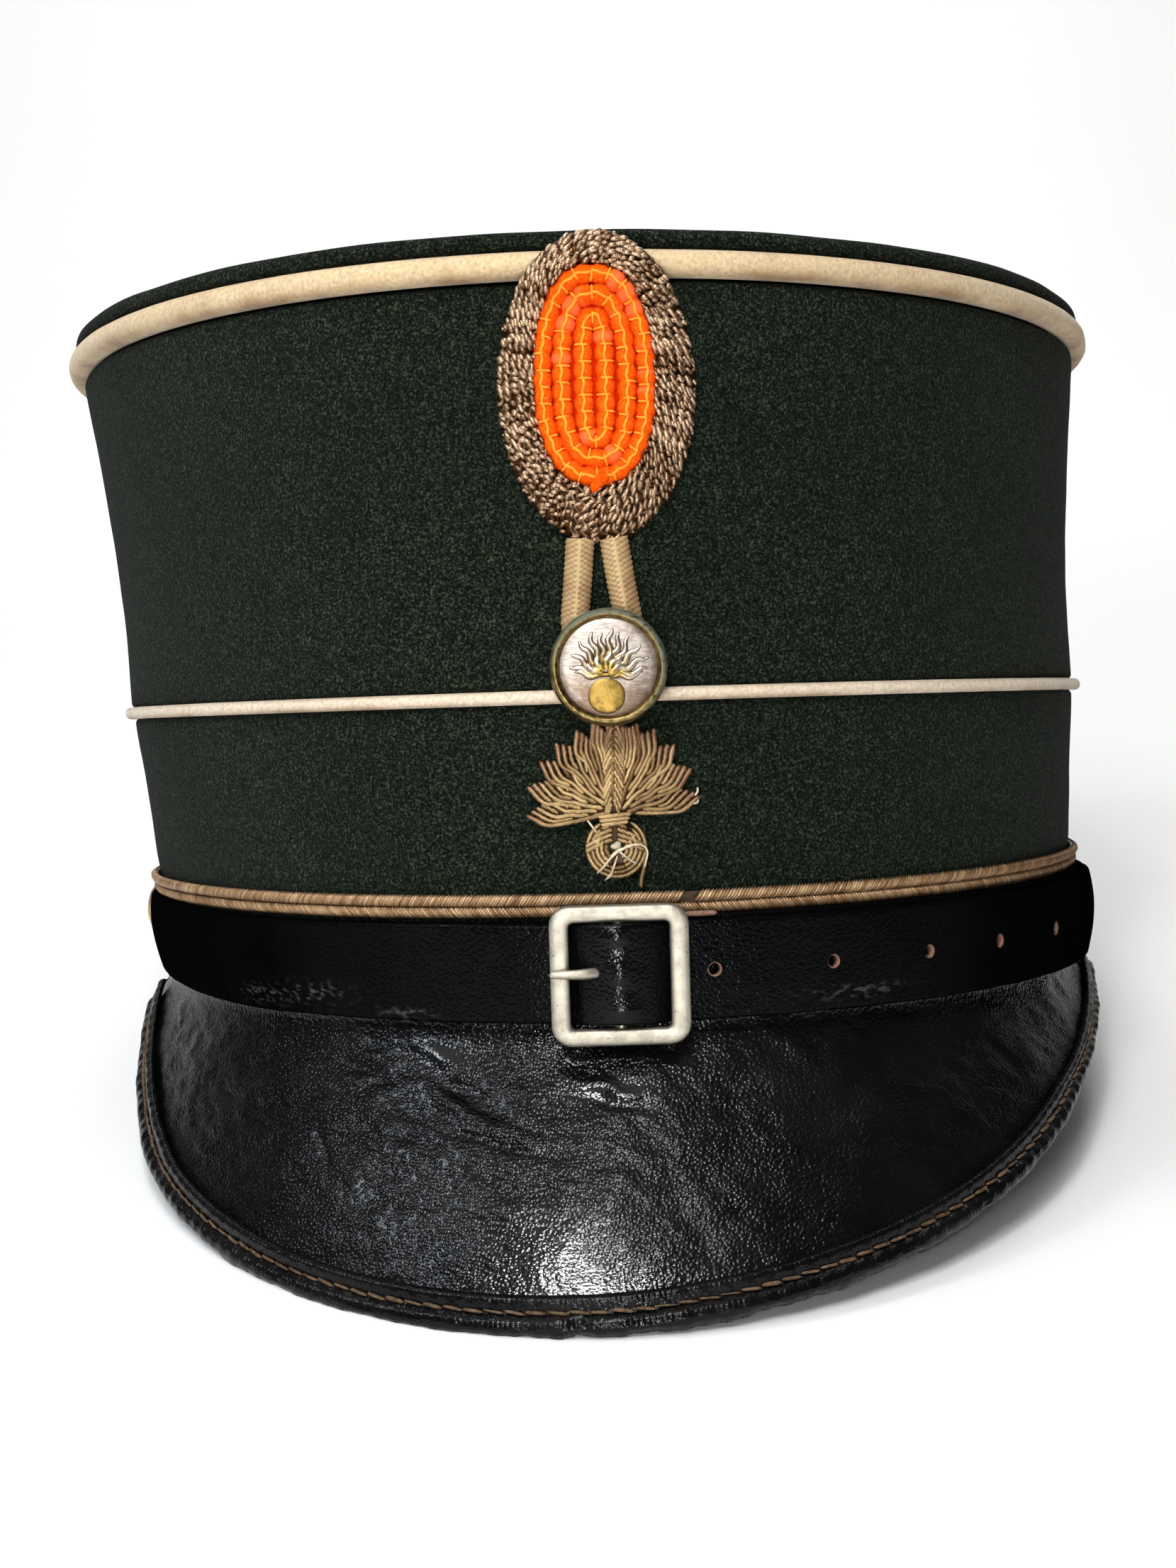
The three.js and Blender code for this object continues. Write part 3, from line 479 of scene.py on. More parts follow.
def patch_share(points, x, z, half_x, half_z):
    """How far points belong to a soft patch at a sideways place and height: 1 in its middle, 0 far off."""
    return np.exp(-(((points[..., 0] - x) / half_x) ** 2) - ((points[..., 2] - z) / half_z) ** 2)


FRONT = np.array([0.0, -1.0, 0.0])


# Finishes

class Finish:
    """A procedural material: a Principled shader and the nodes that feed it."""

    def __init__(self, name, **values):
        self.material = bpy.data.materials.new(name)
        self.material.use_nodes = True
        self.tree = self.material.node_tree
        self.shader = self.tree.nodes["Principled BSDF"]
        self.place = self.add("ShaderNodeTexCoord").outputs["Object"]
        for socket, value in values.items():
            self.set(socket.replace("_", " "), value)

    def set(self, socket, value):
        """Feeds one socket of the shader with a value, a colour or another node's output."""
        self.feed(self.shader.inputs[socket], value)

    def feed(self, socket, value):
        """Links an output, or sets a plain value."""
        if isinstance(value, bpy.types.NodeSocket):
            self.tree.links.new(value, socket)
        elif hasattr(value, "__len__") and len(value) == 3 and socket.type == "RGBA":
            socket.default_value = (*value, 1)
        else:
            socket.default_value = value

    def add(self, kind, inputs=None, **settings):
        """A node with some settings and inputs."""
        node = self.tree.nodes.new(kind)
        for key, value in settings.items():
            setattr(node, key, value)
        for socket, value in (inputs or {}).items():
            self.feed(node.inputs[socket], value)
        return node

    def spots(self, size, detail=2.0, rough=0.5, stretch=None):
        """Noise with spots of about a size in metres."""
        place = self.place
        if stretch:
            place = self.add("ShaderNodeMapping", {"Vector": place, "Scale": stretch}).outputs[0]
        inputs = {"Vector": place, "Scale": 1 / size, "Detail": detail, "Roughness": rough}
        return self.add("ShaderNodeTexNoise", inputs).outputs["Fac"]

    def cells(self, size, feature="F1"):
        """Distance to the nearest of many cells of about a size in metres."""
        node = self.add("ShaderNodeTexVoronoi", {"Vector": self.place, "Scale": 1 / size}, feature=feature)
        return node.outputs["Distance"]

    def value(self, name):
        """A named value of the mesh's points."""
        return self.add("ShaderNodeAttribute", attribute_name=name).outputs["Fac"]

    def sum(self, operation, first, second):
        """A number worked out from two others."""
        return self.add("ShaderNodeMath", {0: first, 1: second}, operation=operation).outputs[0]

    def ramp(self, amount, *stops):
        """Colours at stops along an amount from 0 to 1."""
        node = self.add("ShaderNodeValToRGB", {"Fac": amount})
        elements = node.color_ramp.elements
        while len(elements) < len(stops):
            elements.new(1.0)
        for element, (place, stop) in zip(elements, stops):
            element.position = place
            element.color = (*stop, 1)
        return node.outputs["Color"]

    def between(self, amount, low, high, start=0.3, end=0.7):
        """A number that goes from low to high as an amount goes from start to end."""
        inputs = {"Value": amount, "From Min": start, "From Max": end, "To Min": low, "To Max": high}
        return self.add("ShaderNodeMapRange", inputs).outputs["Result"]

    def mix(self, amount, first, second, blend_type="MIX"):
        """One colour over another."""
        node = self.add("ShaderNodeMix", data_type="RGBA", blend_type=blend_type)
        self.feed(node.inputs["Factor"], amount)
        self.feed(node.inputs[6], first)
        self.feed(node.inputs[7], second)
        return node.outputs[2]

    def bump(self, height, distance, strength=1.0):
        """Relief on the surface, over any that is there already."""
        node = self.add("ShaderNodeBump", {"Height": height, "Distance": distance, "Strength": strength})
        normal = self.shader.inputs["Normal"]
        if normal.is_linked:
            self.feed(node.inputs["Normal"], normal.links[0].from_socket)
        self.feed(normal, node.outputs["Normal"])


def scaled(rgb, by):
    """A colour made darker or lighter."""
    return tuple(min(1.0, channel * by) for channel in rgb)


def wool_finish(cloth):
    """Melton wool: a short felted nap with lighter fibres and faint worn patches."""
    finish = Finish(
        "wool_cloth", Roughness=0.95, Specular_IOR_Level=0.05, Sheen_Weight=0.02, Sheen_Roughness=0.5
    )
    nap = finish.spots(cloth.nap, detail=3, rough=0.65)
    tuft = finish.spots(cloth.nap * 2.6, detail=2)
    patch = finish.spots(0.03, detail=3)
    both = finish.sum("ADD", finish.sum("MULTIPLY", nap, 0.88), finish.sum("MULTIPLY", tuft, 0.12))
    dark = scaled(cloth.wool, 0.2)
    light = scaled(cloth.wool, 1.9)
    fibres = finish.ramp(both, (0.43, dark), (0.50, cloth.wool), (0.56, light), (0.625, cloth.wool_light))
    worn = finish.ramp(both, (0.3, dark), (0.7, cloth.wool))
    finish.set("Base Color", finish.mix(finish.between(patch, 0.0, 0.35), fibres, worn))
    finish.bump(tuft, 0.0005, 0.6)
    finish.bump(nap, 0.0004, 0.9)
    return finish.material


def piping_finish(cloth, wool, name, soil):
    """Cream felted cord, darker brown along its edges from a point value, with random soil spots."""
    finish = Finish(name, Roughness=0.88, Specular_IOR_Level=0.2, Sheen_Weight=0.2)
    nap = finish.spots(0.0006, detail=3, rough=0.6)
    patch = finish.spots(0.012, detail=4, rough=0.6)
    cream = finish.ramp(nap, (0.3, scaled(wool, 0.72)), (0.55, wool), (0.75, scaled(wool, 1.2)))
    # Darker brown along the cord's lower and upper edges, broken up by noise
    edge = finish.sum("MULTIPLY", finish.value("soil"), finish.between(patch, 0.25, 1.0, 0.35, 0.65))
    marks = finish.sum("ADD", edge, finish.between(patch, 0.0, soil, 0.55, 0.8))
    finish.set("Base Color", finish.mix(marks, cream, cloth.soil))
    finish.bump(nap, 0.0003, 0.8)
    return finish.material


def leather_finish(leather, name, gloss=0.3, coarse=1.0, worn=0.5, shine=0.3, coat=0.25):
    """Polished black leather with a pebbled grain, fine wrinkles and patches of thin polish."""
    finish = Finish(name, Specular_IOR_Level=shine, Coat_Roughness=0.1)
    polish = finish.value("polish")
    finish.set("Coat Weight", finish.between(polish, 0.0, 3 * coat, -0.5, 1.0))
    cell = finish.cells(leather.grain)
    pebbles = finish.between(finish.sum("MULTIPLY", cell, cell), 1.0, 0.0, 0.0, 0.45)
    wrinkles = finish.spots(leather.grain * 4, detail=3, rough=0.6)
    patch = finish.spots(0.018, detail=4, rough=0.6)
    fine = finish.spots(leather.grain * 0.5, detail=2)
    plain = finish.mix(finish.between(patch, 0.0, worn, 0.45, 0.8), leather.black, leather.worn)
    streaks = finish.spots(0.0011, detail=3, stretch=(0.5, 1.0, 1.8))
    # Lighter grey scuffs: partly worn fibres, partly a painted highlight on them
    scuffs_and_highlights = finish.sum("MULTIPLY", finish.value("scuff"), finish.between(streaks, 0.0, 1.0, 0.52, 0.68))
    finish.set("Base Color", finish.mix(scuffs_and_highlights, plain, leather.scuff))
    dull = finish.between(patch, gloss - 0.06, gloss + 0.14, 0.3, 0.75)
    dull = finish.sum("SUBTRACT", dull, finish.sum("MULTIPLY", polish, 0.1))
    finish.set("Roughness", finish.sum("ADD", dull, finish.between(fine, -0.03, 0.08)))
    grainy = finish.between(polish, 1.0, 0.3, 0.0, 1.0)
    finish.bump(wrinkles, 0.00016 * coarse, 0.5)
    finish.bump(pebbles, 0.00007 * coarse, grainy)
    finish.bump(fine, 0.00003 * coarse, grainy)
    finish.set("Coat Normal", finish.shader.inputs["Normal"].links[0].from_socket)
    return finish.material


def raw_leather_finish(leather):
    """Uncoated brown leather of cut edges."""
    finish = Finish("raw_leather", Roughness=0.8, Specular_IOR_Level=0.25)
    fibre = finish.spots(0.0006, detail=3)
    finish.set("Base Color", finish.ramp(fibre, (0.3, scaled(leather.raw, 0.45)), (0.7, leather.raw)))
    finish.bump(fibre, 0.0002, 0.7)
    return finish.material


def thread_finish(name, light, dark, size=0.0009):
    """Matt sewing thread."""
    finish = Finish(name, Roughness=0.75, Specular_IOR_Level=0.2)
    patch = finish.spots(size, detail=3)
    finish.set("Base Color", finish.ramp(patch, (0.32, dark), (0.62, light)))
    finish.bump(finish.spots(0.00025), 0.0001, 0.6)
    return finish.material


def metal_thread_finish(name, bright, dark, metallic=0.8, rough=0.36):
    """Metal thread: a tint for each strand, painted shade between strands and a coil's fine ridges along it.
    """
    finish = Finish(name, Metallic=metallic)
    tint = finish.value("tint")
    patch = finish.spots(0.0035, detail=3, rough=0.6)
    amount = finish.sum("ADD", finish.sum("MULTIPLY", tint, 0.5), finish.sum("MULTIPLY", patch, 0.6))
    middle = tuple((a + 2 * b) / 3 for a, b in zip(bright, dark))
    metal = finish.ramp(amount, (0.28, dark), (0.5, middle), (0.78, bright))
    copper = finish.sum("MULTIPLY", finish.value("copper"), 0.5)
    strand = finish.mix(copper, metal, finish.mix(0.5, dark, (0.42, 0.20, 0.16)))
    # Painted shade: near black on the pads and backing seen between the strands
    finish.set("Base Color", finish.mix(finish.value("hollow"), strand, scaled(dark, 0.12)))
    finish.set("Roughness", finish.between(patch, rough - 0.08, rough + 0.16))
    coil = finish.sum("SINE", finish.sum("MULTIPLY", finish.value("along"), math.tau / 0.17), 0.0)
    finish.bump(coil, 0.00002, 0.7)
    return finish.material


def orange_finish(trim):
    """Soft orange cord with painted shade in its hollows, faded to pink where the point value named faded
    says so.
    """
    finish = Finish("orange_cord", Roughness=0.85, Specular_IOR_Level=0.02)
    fibre = finish.spots(0.0004, detail=3, rough=0.6)
    light = (1.0, 0.19, 0.012)
    # Painted shade: the deep red that the cord turns to in the hollows between and under its turns
    deep = (0.42, 0.012, 0.0005)
    cord = finish.ramp(fibre, (0.3, scaled(trim.orange, 0.62)), (0.52, trim.orange), (0.78, light))
    shaded = finish.mix(finish.value("hollow"), cord, deep)
    finish.set("Base Color", finish.mix(finish.value("faded"), shaded, trim.faded))
    finish.bump(fibre, 0.0002, 0.7)
    return finish.material


def metal_finish(name, clean, dirt, rough=0.34, pits=0.5, deep=0.62):
    """Worn metal with a brushed grain, stains and small pits."""
    finish = Finish(name, Metallic=1.0)
    grain = finish.spots(0.00025, detail=2, stretch=(1.0, 1.0, 0.25))
    stain = finish.spots(0.0022, detail=4, rough=0.65)
    pit = finish.spots(0.0006, detail=2, rough=0.5)
    worn = finish.ramp(stain, (0.32, scaled(clean, deep)), (0.54, clean), (0.75, scaled(clean, 1.12)))
    finish.set("Base Color", finish.mix(finish.between(pit, 0.0, pits, 0.66, 0.74), worn, dirt))
    finish.set("Roughness", finish.between(stain, rough + 0.1, rough - 0.05))
    finish.bump(grain, 0.00004, 0.5)
    finish.bump(pit, 0.00006, 0.5)
    return finish.material


def silver_finish(metal):
    """Silvered and stippled button face, tarnished brown low down and in patches."""
    finish = Finish("silvered_face", Metallic=0.85)
    stipple = finish.spots(0.0004, detail=2, stretch=(0.35, 1.0, 1.6))
    stain = finish.spots(0.0028, detail=4, rough=0.7)
    low = finish.sum("MULTIPLY", finish.value("low"), 0.34)
    brown = finish.between(finish.sum("ADD", stain, low), 0.0, 0.9, 0.5, 0.8)
    bright = finish.ramp(stipple, (0.3, scaled(metal.silver, 0.6)), (0.6, metal.silver))
    finish.set("Base Color", finish.mix(brown, bright, (0.12, 0.075, 0.045)))
    finish.set("Roughness", finish.between(stain, 0.48, 0.36))
    finish.bump(stipple, 0.00007, 0.8)
    return finish.material


def flame_finish(metal):
    """Relief of the button's flame: gilt by its neck, and silver where the point value named tip is high."""
    finish = Finish("gilt_flames", Metallic=1.0, Roughness=0.36)
    stain = finish.spots(0.0008, detail=3)
    worn = finish.between(finish.value("tip"), 0.0, 1.0, 0.3, 0.75)
    flame = finish.mix(worn, scaled(metal.gilt, 1.25), scaled(metal.silver, 1.15))
    finish.set("Base Color", finish.mix(finish.between(stain, 0.0, 0.6, 0.54, 0.72), flame, metal.dirt))
    finish.bump(stain, 0.00008, 0.6)
    return finish.material


def rim_finish(metal):
    """Brass rim of the front button, green with patina where the point value named patina says so."""
    finish = Finish("button_rim")
    spots = finish.spots(0.0011, detail=4, rough=0.65)
    green = finish.sum("MULTIPLY", finish.value("patina"), finish.between(spots, 0.2, 1.0, 0.35, 0.55))
    brass = finish.ramp(spots, (0.35, scaled(metal.brass, 0.13)), (0.68, scaled(metal.brass, 0.58)))
    finish.set("Base Color", finish.mix(green, brass, metal.patina))
    finish.set("Metallic", finish.between(green, 1.0, 0.1, 0.2, 0.7))
    finish.set("Roughness", finish.between(green, 0.32, 0.75, 0.2, 0.7))
    finish.bump(spots, 0.00018, 0.6)
    return finish.material


# Cloth and piping

def oval_ring(loop, half_mid, z_mid, steps, sway):
    """Rings of a section swept round the crown's oval, straying a little from it."""
    angle = turn_angles(steps)[:, None]
    half = half_mid + loop[:, 0][None]
    z = np.broadcast_to(z_mid + loop[:, 1][None], half.shape)
    points = oval_point(angle, half, z)
    stray = sway * ripple(points[:, :1], 22.0) + 0.35 * sway * ripple(points, 6.0, 1)
    return oval_point(angle, half + stray, z)


def wall(rows, sway):
    """A cloth wall with rounded rims."""
    low, high = rows[0][0], rows[-1][0]
    loop = rounded_loop(CLOTH, high - low, 0.9, 3, int((high - low) / 1.5))
    z = (low + high) / 2 + loop[:, 1]
    half = eased(rows, z, 3.0) - CLOTH / 2
    return Skin(oval_ring(loop, half[None], (low + high) / 2, STEPS.wall, sway), wrap_rows=True)


def top_plate(sway):
    """The cloth top: a shallow dish with a rounded edge, as rings from its middle out and back below."""
    top = TOP_PLATE
    inner = np.linspace(0.02, 1, 40) * (top.half - top.round)
    dish = top.sag * (1 - np.clip((inner - top.sag_half) / (top.flat_half - top.sag_half), 0, 1) ** 1.5)
    turn = np.linspace(math.pi / 2, -math.pi / 2, 12)
    thick = (top.high - top.low) / 2
    edge_half = top.half - top.round + top.round * np.cos(turn)
    edge_z = (top.high + top.low) / 2 + thick * np.sin(turn)
    half = np.concatenate([inner, edge_half[1:-1], inner[::-1]])
    z = np.concatenate([top.high - dish, edge_z[1:-1], (top.low - dish)[::-1]])
    angle = turn_angles(STEPS.top)[None]
    rim = oval_point(angle, top.half, z[:, None])
    middle = spread(oval_middle(z), 0, z)[:, None]
    points = middle + (rim - middle) * (half / top.half)[:, None, None]
    points[..., 2] += sway * ripple(points, 14.0, 3)
    return Skin(points)


def piping_cord(size, sway):
    """A piping cord round the oval, marked darker brown along its lower and upper edges."""
    tall = size.high - size.low
    loop = rounded_loop(size.bead - size.inner, tall, size.corner, 2, 4, 6)
    middle = (size.bead + size.inner) / 2
    skin = Skin(oval_ring(loop, middle, (size.low + size.high) / 2, STEPS.piping, sway), wrap_rows=True)
    low = np.clip(0.5 - loop[:, 1] / tall, 0, 1) ** 3
    high = np.clip(0.5 + loop[:, 1] / tall, 0, 1) ** 6
    # Darker brown along the lower edge, less along the upper edge
    skin.mark("soil", np.tile(np.maximum(low, 0.7 * high), STEPS.piping))
    return skin


class KEPI_OT_wool(bpy.types.Operator):
    """Makes the two cloth walls and the cloth top"""

    bl_idname = "kepi.wool"
    bl_label = "Wool walls and top"

    def execute(self, context):
        cloth = context.scene.kepi.cloth
        sway = cloth.wave / MM
        material = wool_finish(cloth)
        add_piece("wool_band", wall(BAND_ROWS, sway), material, "cloth", "band")
        add_piece("wool_side", wall(SIDE_ROWS, sway), material, "cloth", "crown_side")
        add_piece("wool_top", top_plate(sway), material, "cloth", "crown_top")
        return {"FINISHED"}


class KEPI_OT_piping(bpy.types.Operator):
    """Makes the cream cords in the band's seam and under the top"""

    bl_idname = "kepi.piping"
    bl_label = "Piping"

    def execute(self, context):
        cloth = context.scene.kepi.cloth
        sway = 0.6 * cloth.wave / MM
        thin = piping_finish(cloth, cloth.seam, "seam_piping_wool", 0.1)
        add_piece("seam_piping", piping_cord(BAND_PIPING, sway), thin, "piping", "band_piping")
        thick = piping_finish(cloth, cloth.piping, "crown_piping_wool", 0.35)
        add_piece("crown_piping", piping_cord(TOP_PIPING, sway), thick, "piping", "top_piping")
        return {"FINISHED"}


# Gold braid

# Worn places of the braid, where threads are gone: from and to a sideways place, and which rib
WORN_BRAID = ((9.4, 11.8, 1),)


def braid_half(z):
    """Half width of the cloth that the braid lies on."""
    return table(BAND_ROWS, z) + GAP


def braid_threads(pitch, seed=4):
    """Slanted threads of the braid's two ribs, which lean against each other."""
    middle = (BRAID.low + BRAID.high) / 2
    around = math.tau * math.hypot(BRAID.half, BRAID.half + DEPTH_EXTRA) / math.sqrt(2)
    count = int(around / pitch)
    fine = np.linspace(-math.pi, math.pi, 4000)
    run = run_along(oval_point(fine, BRAID.half, BRAID.z))
    start = np.interp(np.linspace(0, run[-1], count, endpoint=False), run, fine)
    u = np.linspace(0, 1, STEPS.thread)
    rng = np.random.default_rng(seed)
    skins = []
    for rib, (low, high) in enumerate(((BRAID.low, middle), (middle, BRAID.high))):
        kept = start + rng.normal(0, 0.0004, count)
        x = oval_middle(BRAID.z) + BRAID.half * np.sin(kept)
        front = np.cos(kept) > 0
        for from_x, to_x, worn_rib in WORN_BRAID:
            if worn_rib == rib:
                worn = front & (x > from_x) & (x < to_x)
                kept, x, front = kept[~worn], x[~worn], front[~worn]
        lean = BRAID.slant * (1 if rib else -1) / BRAID.mean_half
        z = low - 0.1 + (high - low + 0.2) * u
        arch = BRAID.rib * np.sqrt(1 - 0.85 * (2 * u - 1) ** 2)
        half = braid_half(z) + arch + rng.normal(0, 0.05, len(kept))[:, None]
        angle = kept[:, None] + lean * (2 * u - 1)
        paths = oval_point(angle, half, z[None])
        thick = pitch * 0.62 * round_ends(STEPS.thread)
        rings = strands(paths, thick, rim_normal(angle), sides=4, flat=0.8)
        # The braid's front is tinted darker rightwards of 8 mm from the middle
        tarnished = 0.3 * np.clip((x - 8) / 10, 0, 1) * front
        tint = np.clip(rng.normal(0.58, 0.24, len(kept)) + 0.2 * np.sin(kept * 3 + rib) - tarnished, 0, 1)
        skins.append(Skin(rings, tint=tint[:, None], along=0.0))
    return skins[0].joined(skins[1])


def braid_core():
    """The braid's flat backing under its threads, dark with painted shade where it shows between them."""
    loop = rounded_loop(BRAID.core, BRAID.high - BRAID.low - 0.2, 0.3, 2, 6)
    middle = (BRAID.low + BRAID.high) / 2
    half = braid_half(middle + loop[:, 1]) + BRAID.core / 2
    return Skin(oval_ring(loop, half[None], middle, STEPS.braid, 0.0), wrap_rows=True, tint=0.0, hollow=0.9)


class KEPI_OT_braid(bpy.types.Operator):
    """Makes the two-rib gold braid above the strap"""

    bl_idname = "kepi.braid"
    bl_label = "Base braid"

    def execute(self, context):
        trim = context.scene.kepi.trim
        skin = braid_threads(trim.braid_thread / MM).joined(braid_core())
        material = metal_thread_finish("gold_braid", trim.braid, trim.braid_dark, metallic=0.45, rough=0.42)
        add_piece("gold_braid", skin, material, "braid", "base_braid")
        return {"FINISHED"}


# Peak and binding

def peak_edge(angle):
    """How far the peak's edge lies out from the base oval, and its height."""
    part = np.abs(angle) / math.radians(PEAK.end_angle)
    reach = PEAK.length * np.clip(1 - part ** PEAK.fall, 0, 1) ** PEAK.sharp
    slope = np.radians(PEAK.front_slope + (PEAK.side_slope - PEAK.front_slope) * part * part)
    return PEAK.root_out + reach * np.cos(slope), PEAK.root_z - reach * np.sin(slope)


def peak_curve(angle, t):
    """Places and downward directions, as out and height, along the peak's upper face at shares t."""
    out, z = peak_edge(angle)
    start = np.stack(np.broadcast_arrays(GAP + PEAK.flange, np.full_like(z, PEAK.root)), axis=-1)
    end = np.stack([out, z], axis=-1)
    drop, reach = PEAK.root - z, out - start[..., 0]
    root = start - np.stack([np.zeros_like(drop), PEAK_PULL.root * drop], axis=-1)
    edge = start + np.stack([PEAK_PULL.edge_out * reach, -PEAK_PULL.edge_down * drop], axis=-1)
    a, b, c, d = (corner[..., None, :] for corner in (start, root, edge, end))
    t = t[..., None]
    s = 1 - t
    place = s ** 3 * a + 3 * s * s * t * b + 3 * s * t * t * c + t ** 3 * d
    down = unit(3 * s * s * (b - a) + 6 * s * t * (c - b) + 3 * t * t * (d - c))
    return place, down


def nose_share(angle):
    """Share of the peak's curve that the binding's nose takes beyond the sheet."""
    place, _ = peak_curve(angle, np.broadcast_to(np.linspace(0, 1, 40), (*np.shape(angle), 40)))
    run = np.linalg.norm(np.diff(place, axis=-2), axis=-1).sum(axis=-1)
    return BINDING.nose / run


def peak_point(angle, place):
    """From a place of out and height to the hat, with the peak's slight sway to one side."""
    point = rim_point(angle, place[..., 0], place[..., 1])
    on_peak = np.clip(-place[..., 1] / PEAK_SWAY.drop, 0, 1)
    point[..., 2] += PEAK_SWAY.skew * (point[..., 0] - oval_middle(0)) * on_peak
    point[..., 0] += PEAK_SWAY.shift * on_peak
    return point


def outward(down):
    """Direction out of the peak's upper face, from the direction down it."""
    return np.stack([-down[..., 1], down[..., 0]], axis=-1)


# Folds of the peak: both ends as sideways place and height, rise as a share of the full height, and half
# width
FOLDS = (
    ((-30.2, -3.4), (-23.0, -6.9), 1.0, 1.1), ((-26.5, -7.0), (-16.5, -13.2), -1.1, 1.5),
    ((-30.4, -8.2), (-18.5, -13.8), 0.9, 1.0), ((-28.5, -14.2), (-8.0, -17.9), -0.6, 0.5),
    ((-8.0, -7.8), (5.6, -10.9), 1.0, 0.9), ((-8.5, -9.3), (4.0, -12.1), -0.8, 0.7),
    ((-43.5, -4.4), (-33.5, -6.4), 0.9, 1.1), ((-42.0, -6.6), (-33.0, -8.6), -0.7, 0.9),
    ((-42.0, -10.4), (-32.0, -8.2), -0.5, 0.6), ((-40.5, -14.2), (-34.5, -18.4), 0.6, 0.8),
    ((-45.5, -13.8), (-42.3, -23.0), -0.6, 0.6), ((-60.5, -11.6), (-51.5, -12.1), 0.9, 1.1),
    ((-60.0, -13.6), (-52.0, -14.1), -0.6, 0.8), ((-21.0, -22.0), (-11.0, -28.0), 0.5, 1.5),
    ((8.0, -24.0), (14.0, -33.0), -0.5, 1.6), ((14.0, -6.0), (30.0, -10.5), 0.6, 1.8),
    ((47.0, -6.5), (55.0, -17.0), -0.5, 0.6), ((56.5, -6.5), (62.5, -13.5), -0.5, 0.6),
)
# Polished patches of the peak: middle as sideways place and height, half width and half height
POLISHED = (
    (-5.0, -34.5, 14.0, 3.6), (-11.0, -29.0, 9.0, 4.5), (-26.0, -5.0, 4.5, 2.0), (-1.0, -9.4, 7.0, 1.6),
)


def fold_height(points):
    """How far the peak's folds rise, as a share of their full height, along slightly wandering lines."""
    height = np.zeros(points.shape[:-1])
    flat = points[..., [0, 2]] + 0.7 * np.stack([ripple(points, 3.5, 7), ripple(points, 3.5, 11)], axis=-1)
    for start, end, rise, width in FOLDS:
        way = np.subtract(end, start)
        part = np.clip(((flat - start) @ way) / (way @ way), 0, 1)
        off = np.linalg.norm(flat - start - part[..., None] * way, axis=-1)
        height += rise * (0.25 + 0.75 * np.sin(np.pi * part)) * np.exp(-((off / width) ** 2))
    return height


def peak_sheet(crease):
    """The moulded leather sheet with its flange behind the strap."""
    angle = np.radians(np.linspace(-PEAK.cut, PEAK.cut, STEPS.peak))
    down = np.linspace(0, 1, STEPS.peak_down)[None]
    on_sheet = (1 - nose_share(angle))[:, None]
    upper, upper_down = peak_curve(angle, down ** 0.85 * on_sheet)
    under, under_down = peak_curve(angle, np.linspace(1, 0.2, 10)[None] * on_sheet)
    under = under - PEAK.thick * outward(under_down)
    under[..., 0] = np.maximum(under[..., 0], GAP)
    points = peak_point(angle[:, None], upper)
    middle = np.sin(np.pi * down) ** 0.5
    slanted = points + points[..., 2:] * [0.8, 0.0, 0.3]
    relief = 0.34 * ripple(points, 9.0, 2) + 0.26 * ripple(slanted, 3.8, 5) + 0.09 * ripple(slanted, 1.7, 6)
    polish = sum(patch_share(points, *place) for place in POLISHED)
    relief *= 1 - 0.55 * np.clip(polish, 0, 1)
    upper = upper + outward(upper_down) * (middle * (relief + crease * fold_height(points)))[..., None]
    polish -= 0.5 * np.clip((np.abs(points[..., 0]) - 42) / 14, 0, 1)
    ones = np.ones((len(angle), 1, 1))
    flange = ones * np.array([[GAP, PEAK.flange_top], [GAP + PEAK.flange, PEAK.flange_top]])
    foot = ones * np.array([[GAP, PEAK.root_under]])
    section = np.concatenate([flange, upper, under, foot], axis=1)
    skin = Skin(peak_point(angle[:, None], section))
    plain = np.zeros((len(angle), section.shape[1]))
    plain[:, 2:2 + upper.shape[1]] = np.clip(polish, -0.5, 1)
    skin.mark("polish", plain)
    return skin


def binding_stations(step):
    """Angles along the binding that are a step apart along its edge."""
    angle = np.radians(np.linspace(-BINDING.cut, BINDING.cut, 2000))
    out, z = peak_edge(angle)
    path = peak_point(angle, np.stack([out, z], axis=-1))
    run = run_along(path)
    places = np.arange(0, run[-1], step)
    return np.interp(places, run, angle), places


def binding_point(angle, along, across):
    """A point by the peak's edge: along its slope past the sheet's edge, and out of its face."""
    edge, down = peak_curve(angle, 1 - nose_share(angle)[:, None])
    out = outward(down)
    place = edge - out * PEAK.thick / 2 + along[..., None] * down + across[..., None] * out
    return peak_point(angle[:, None], place)


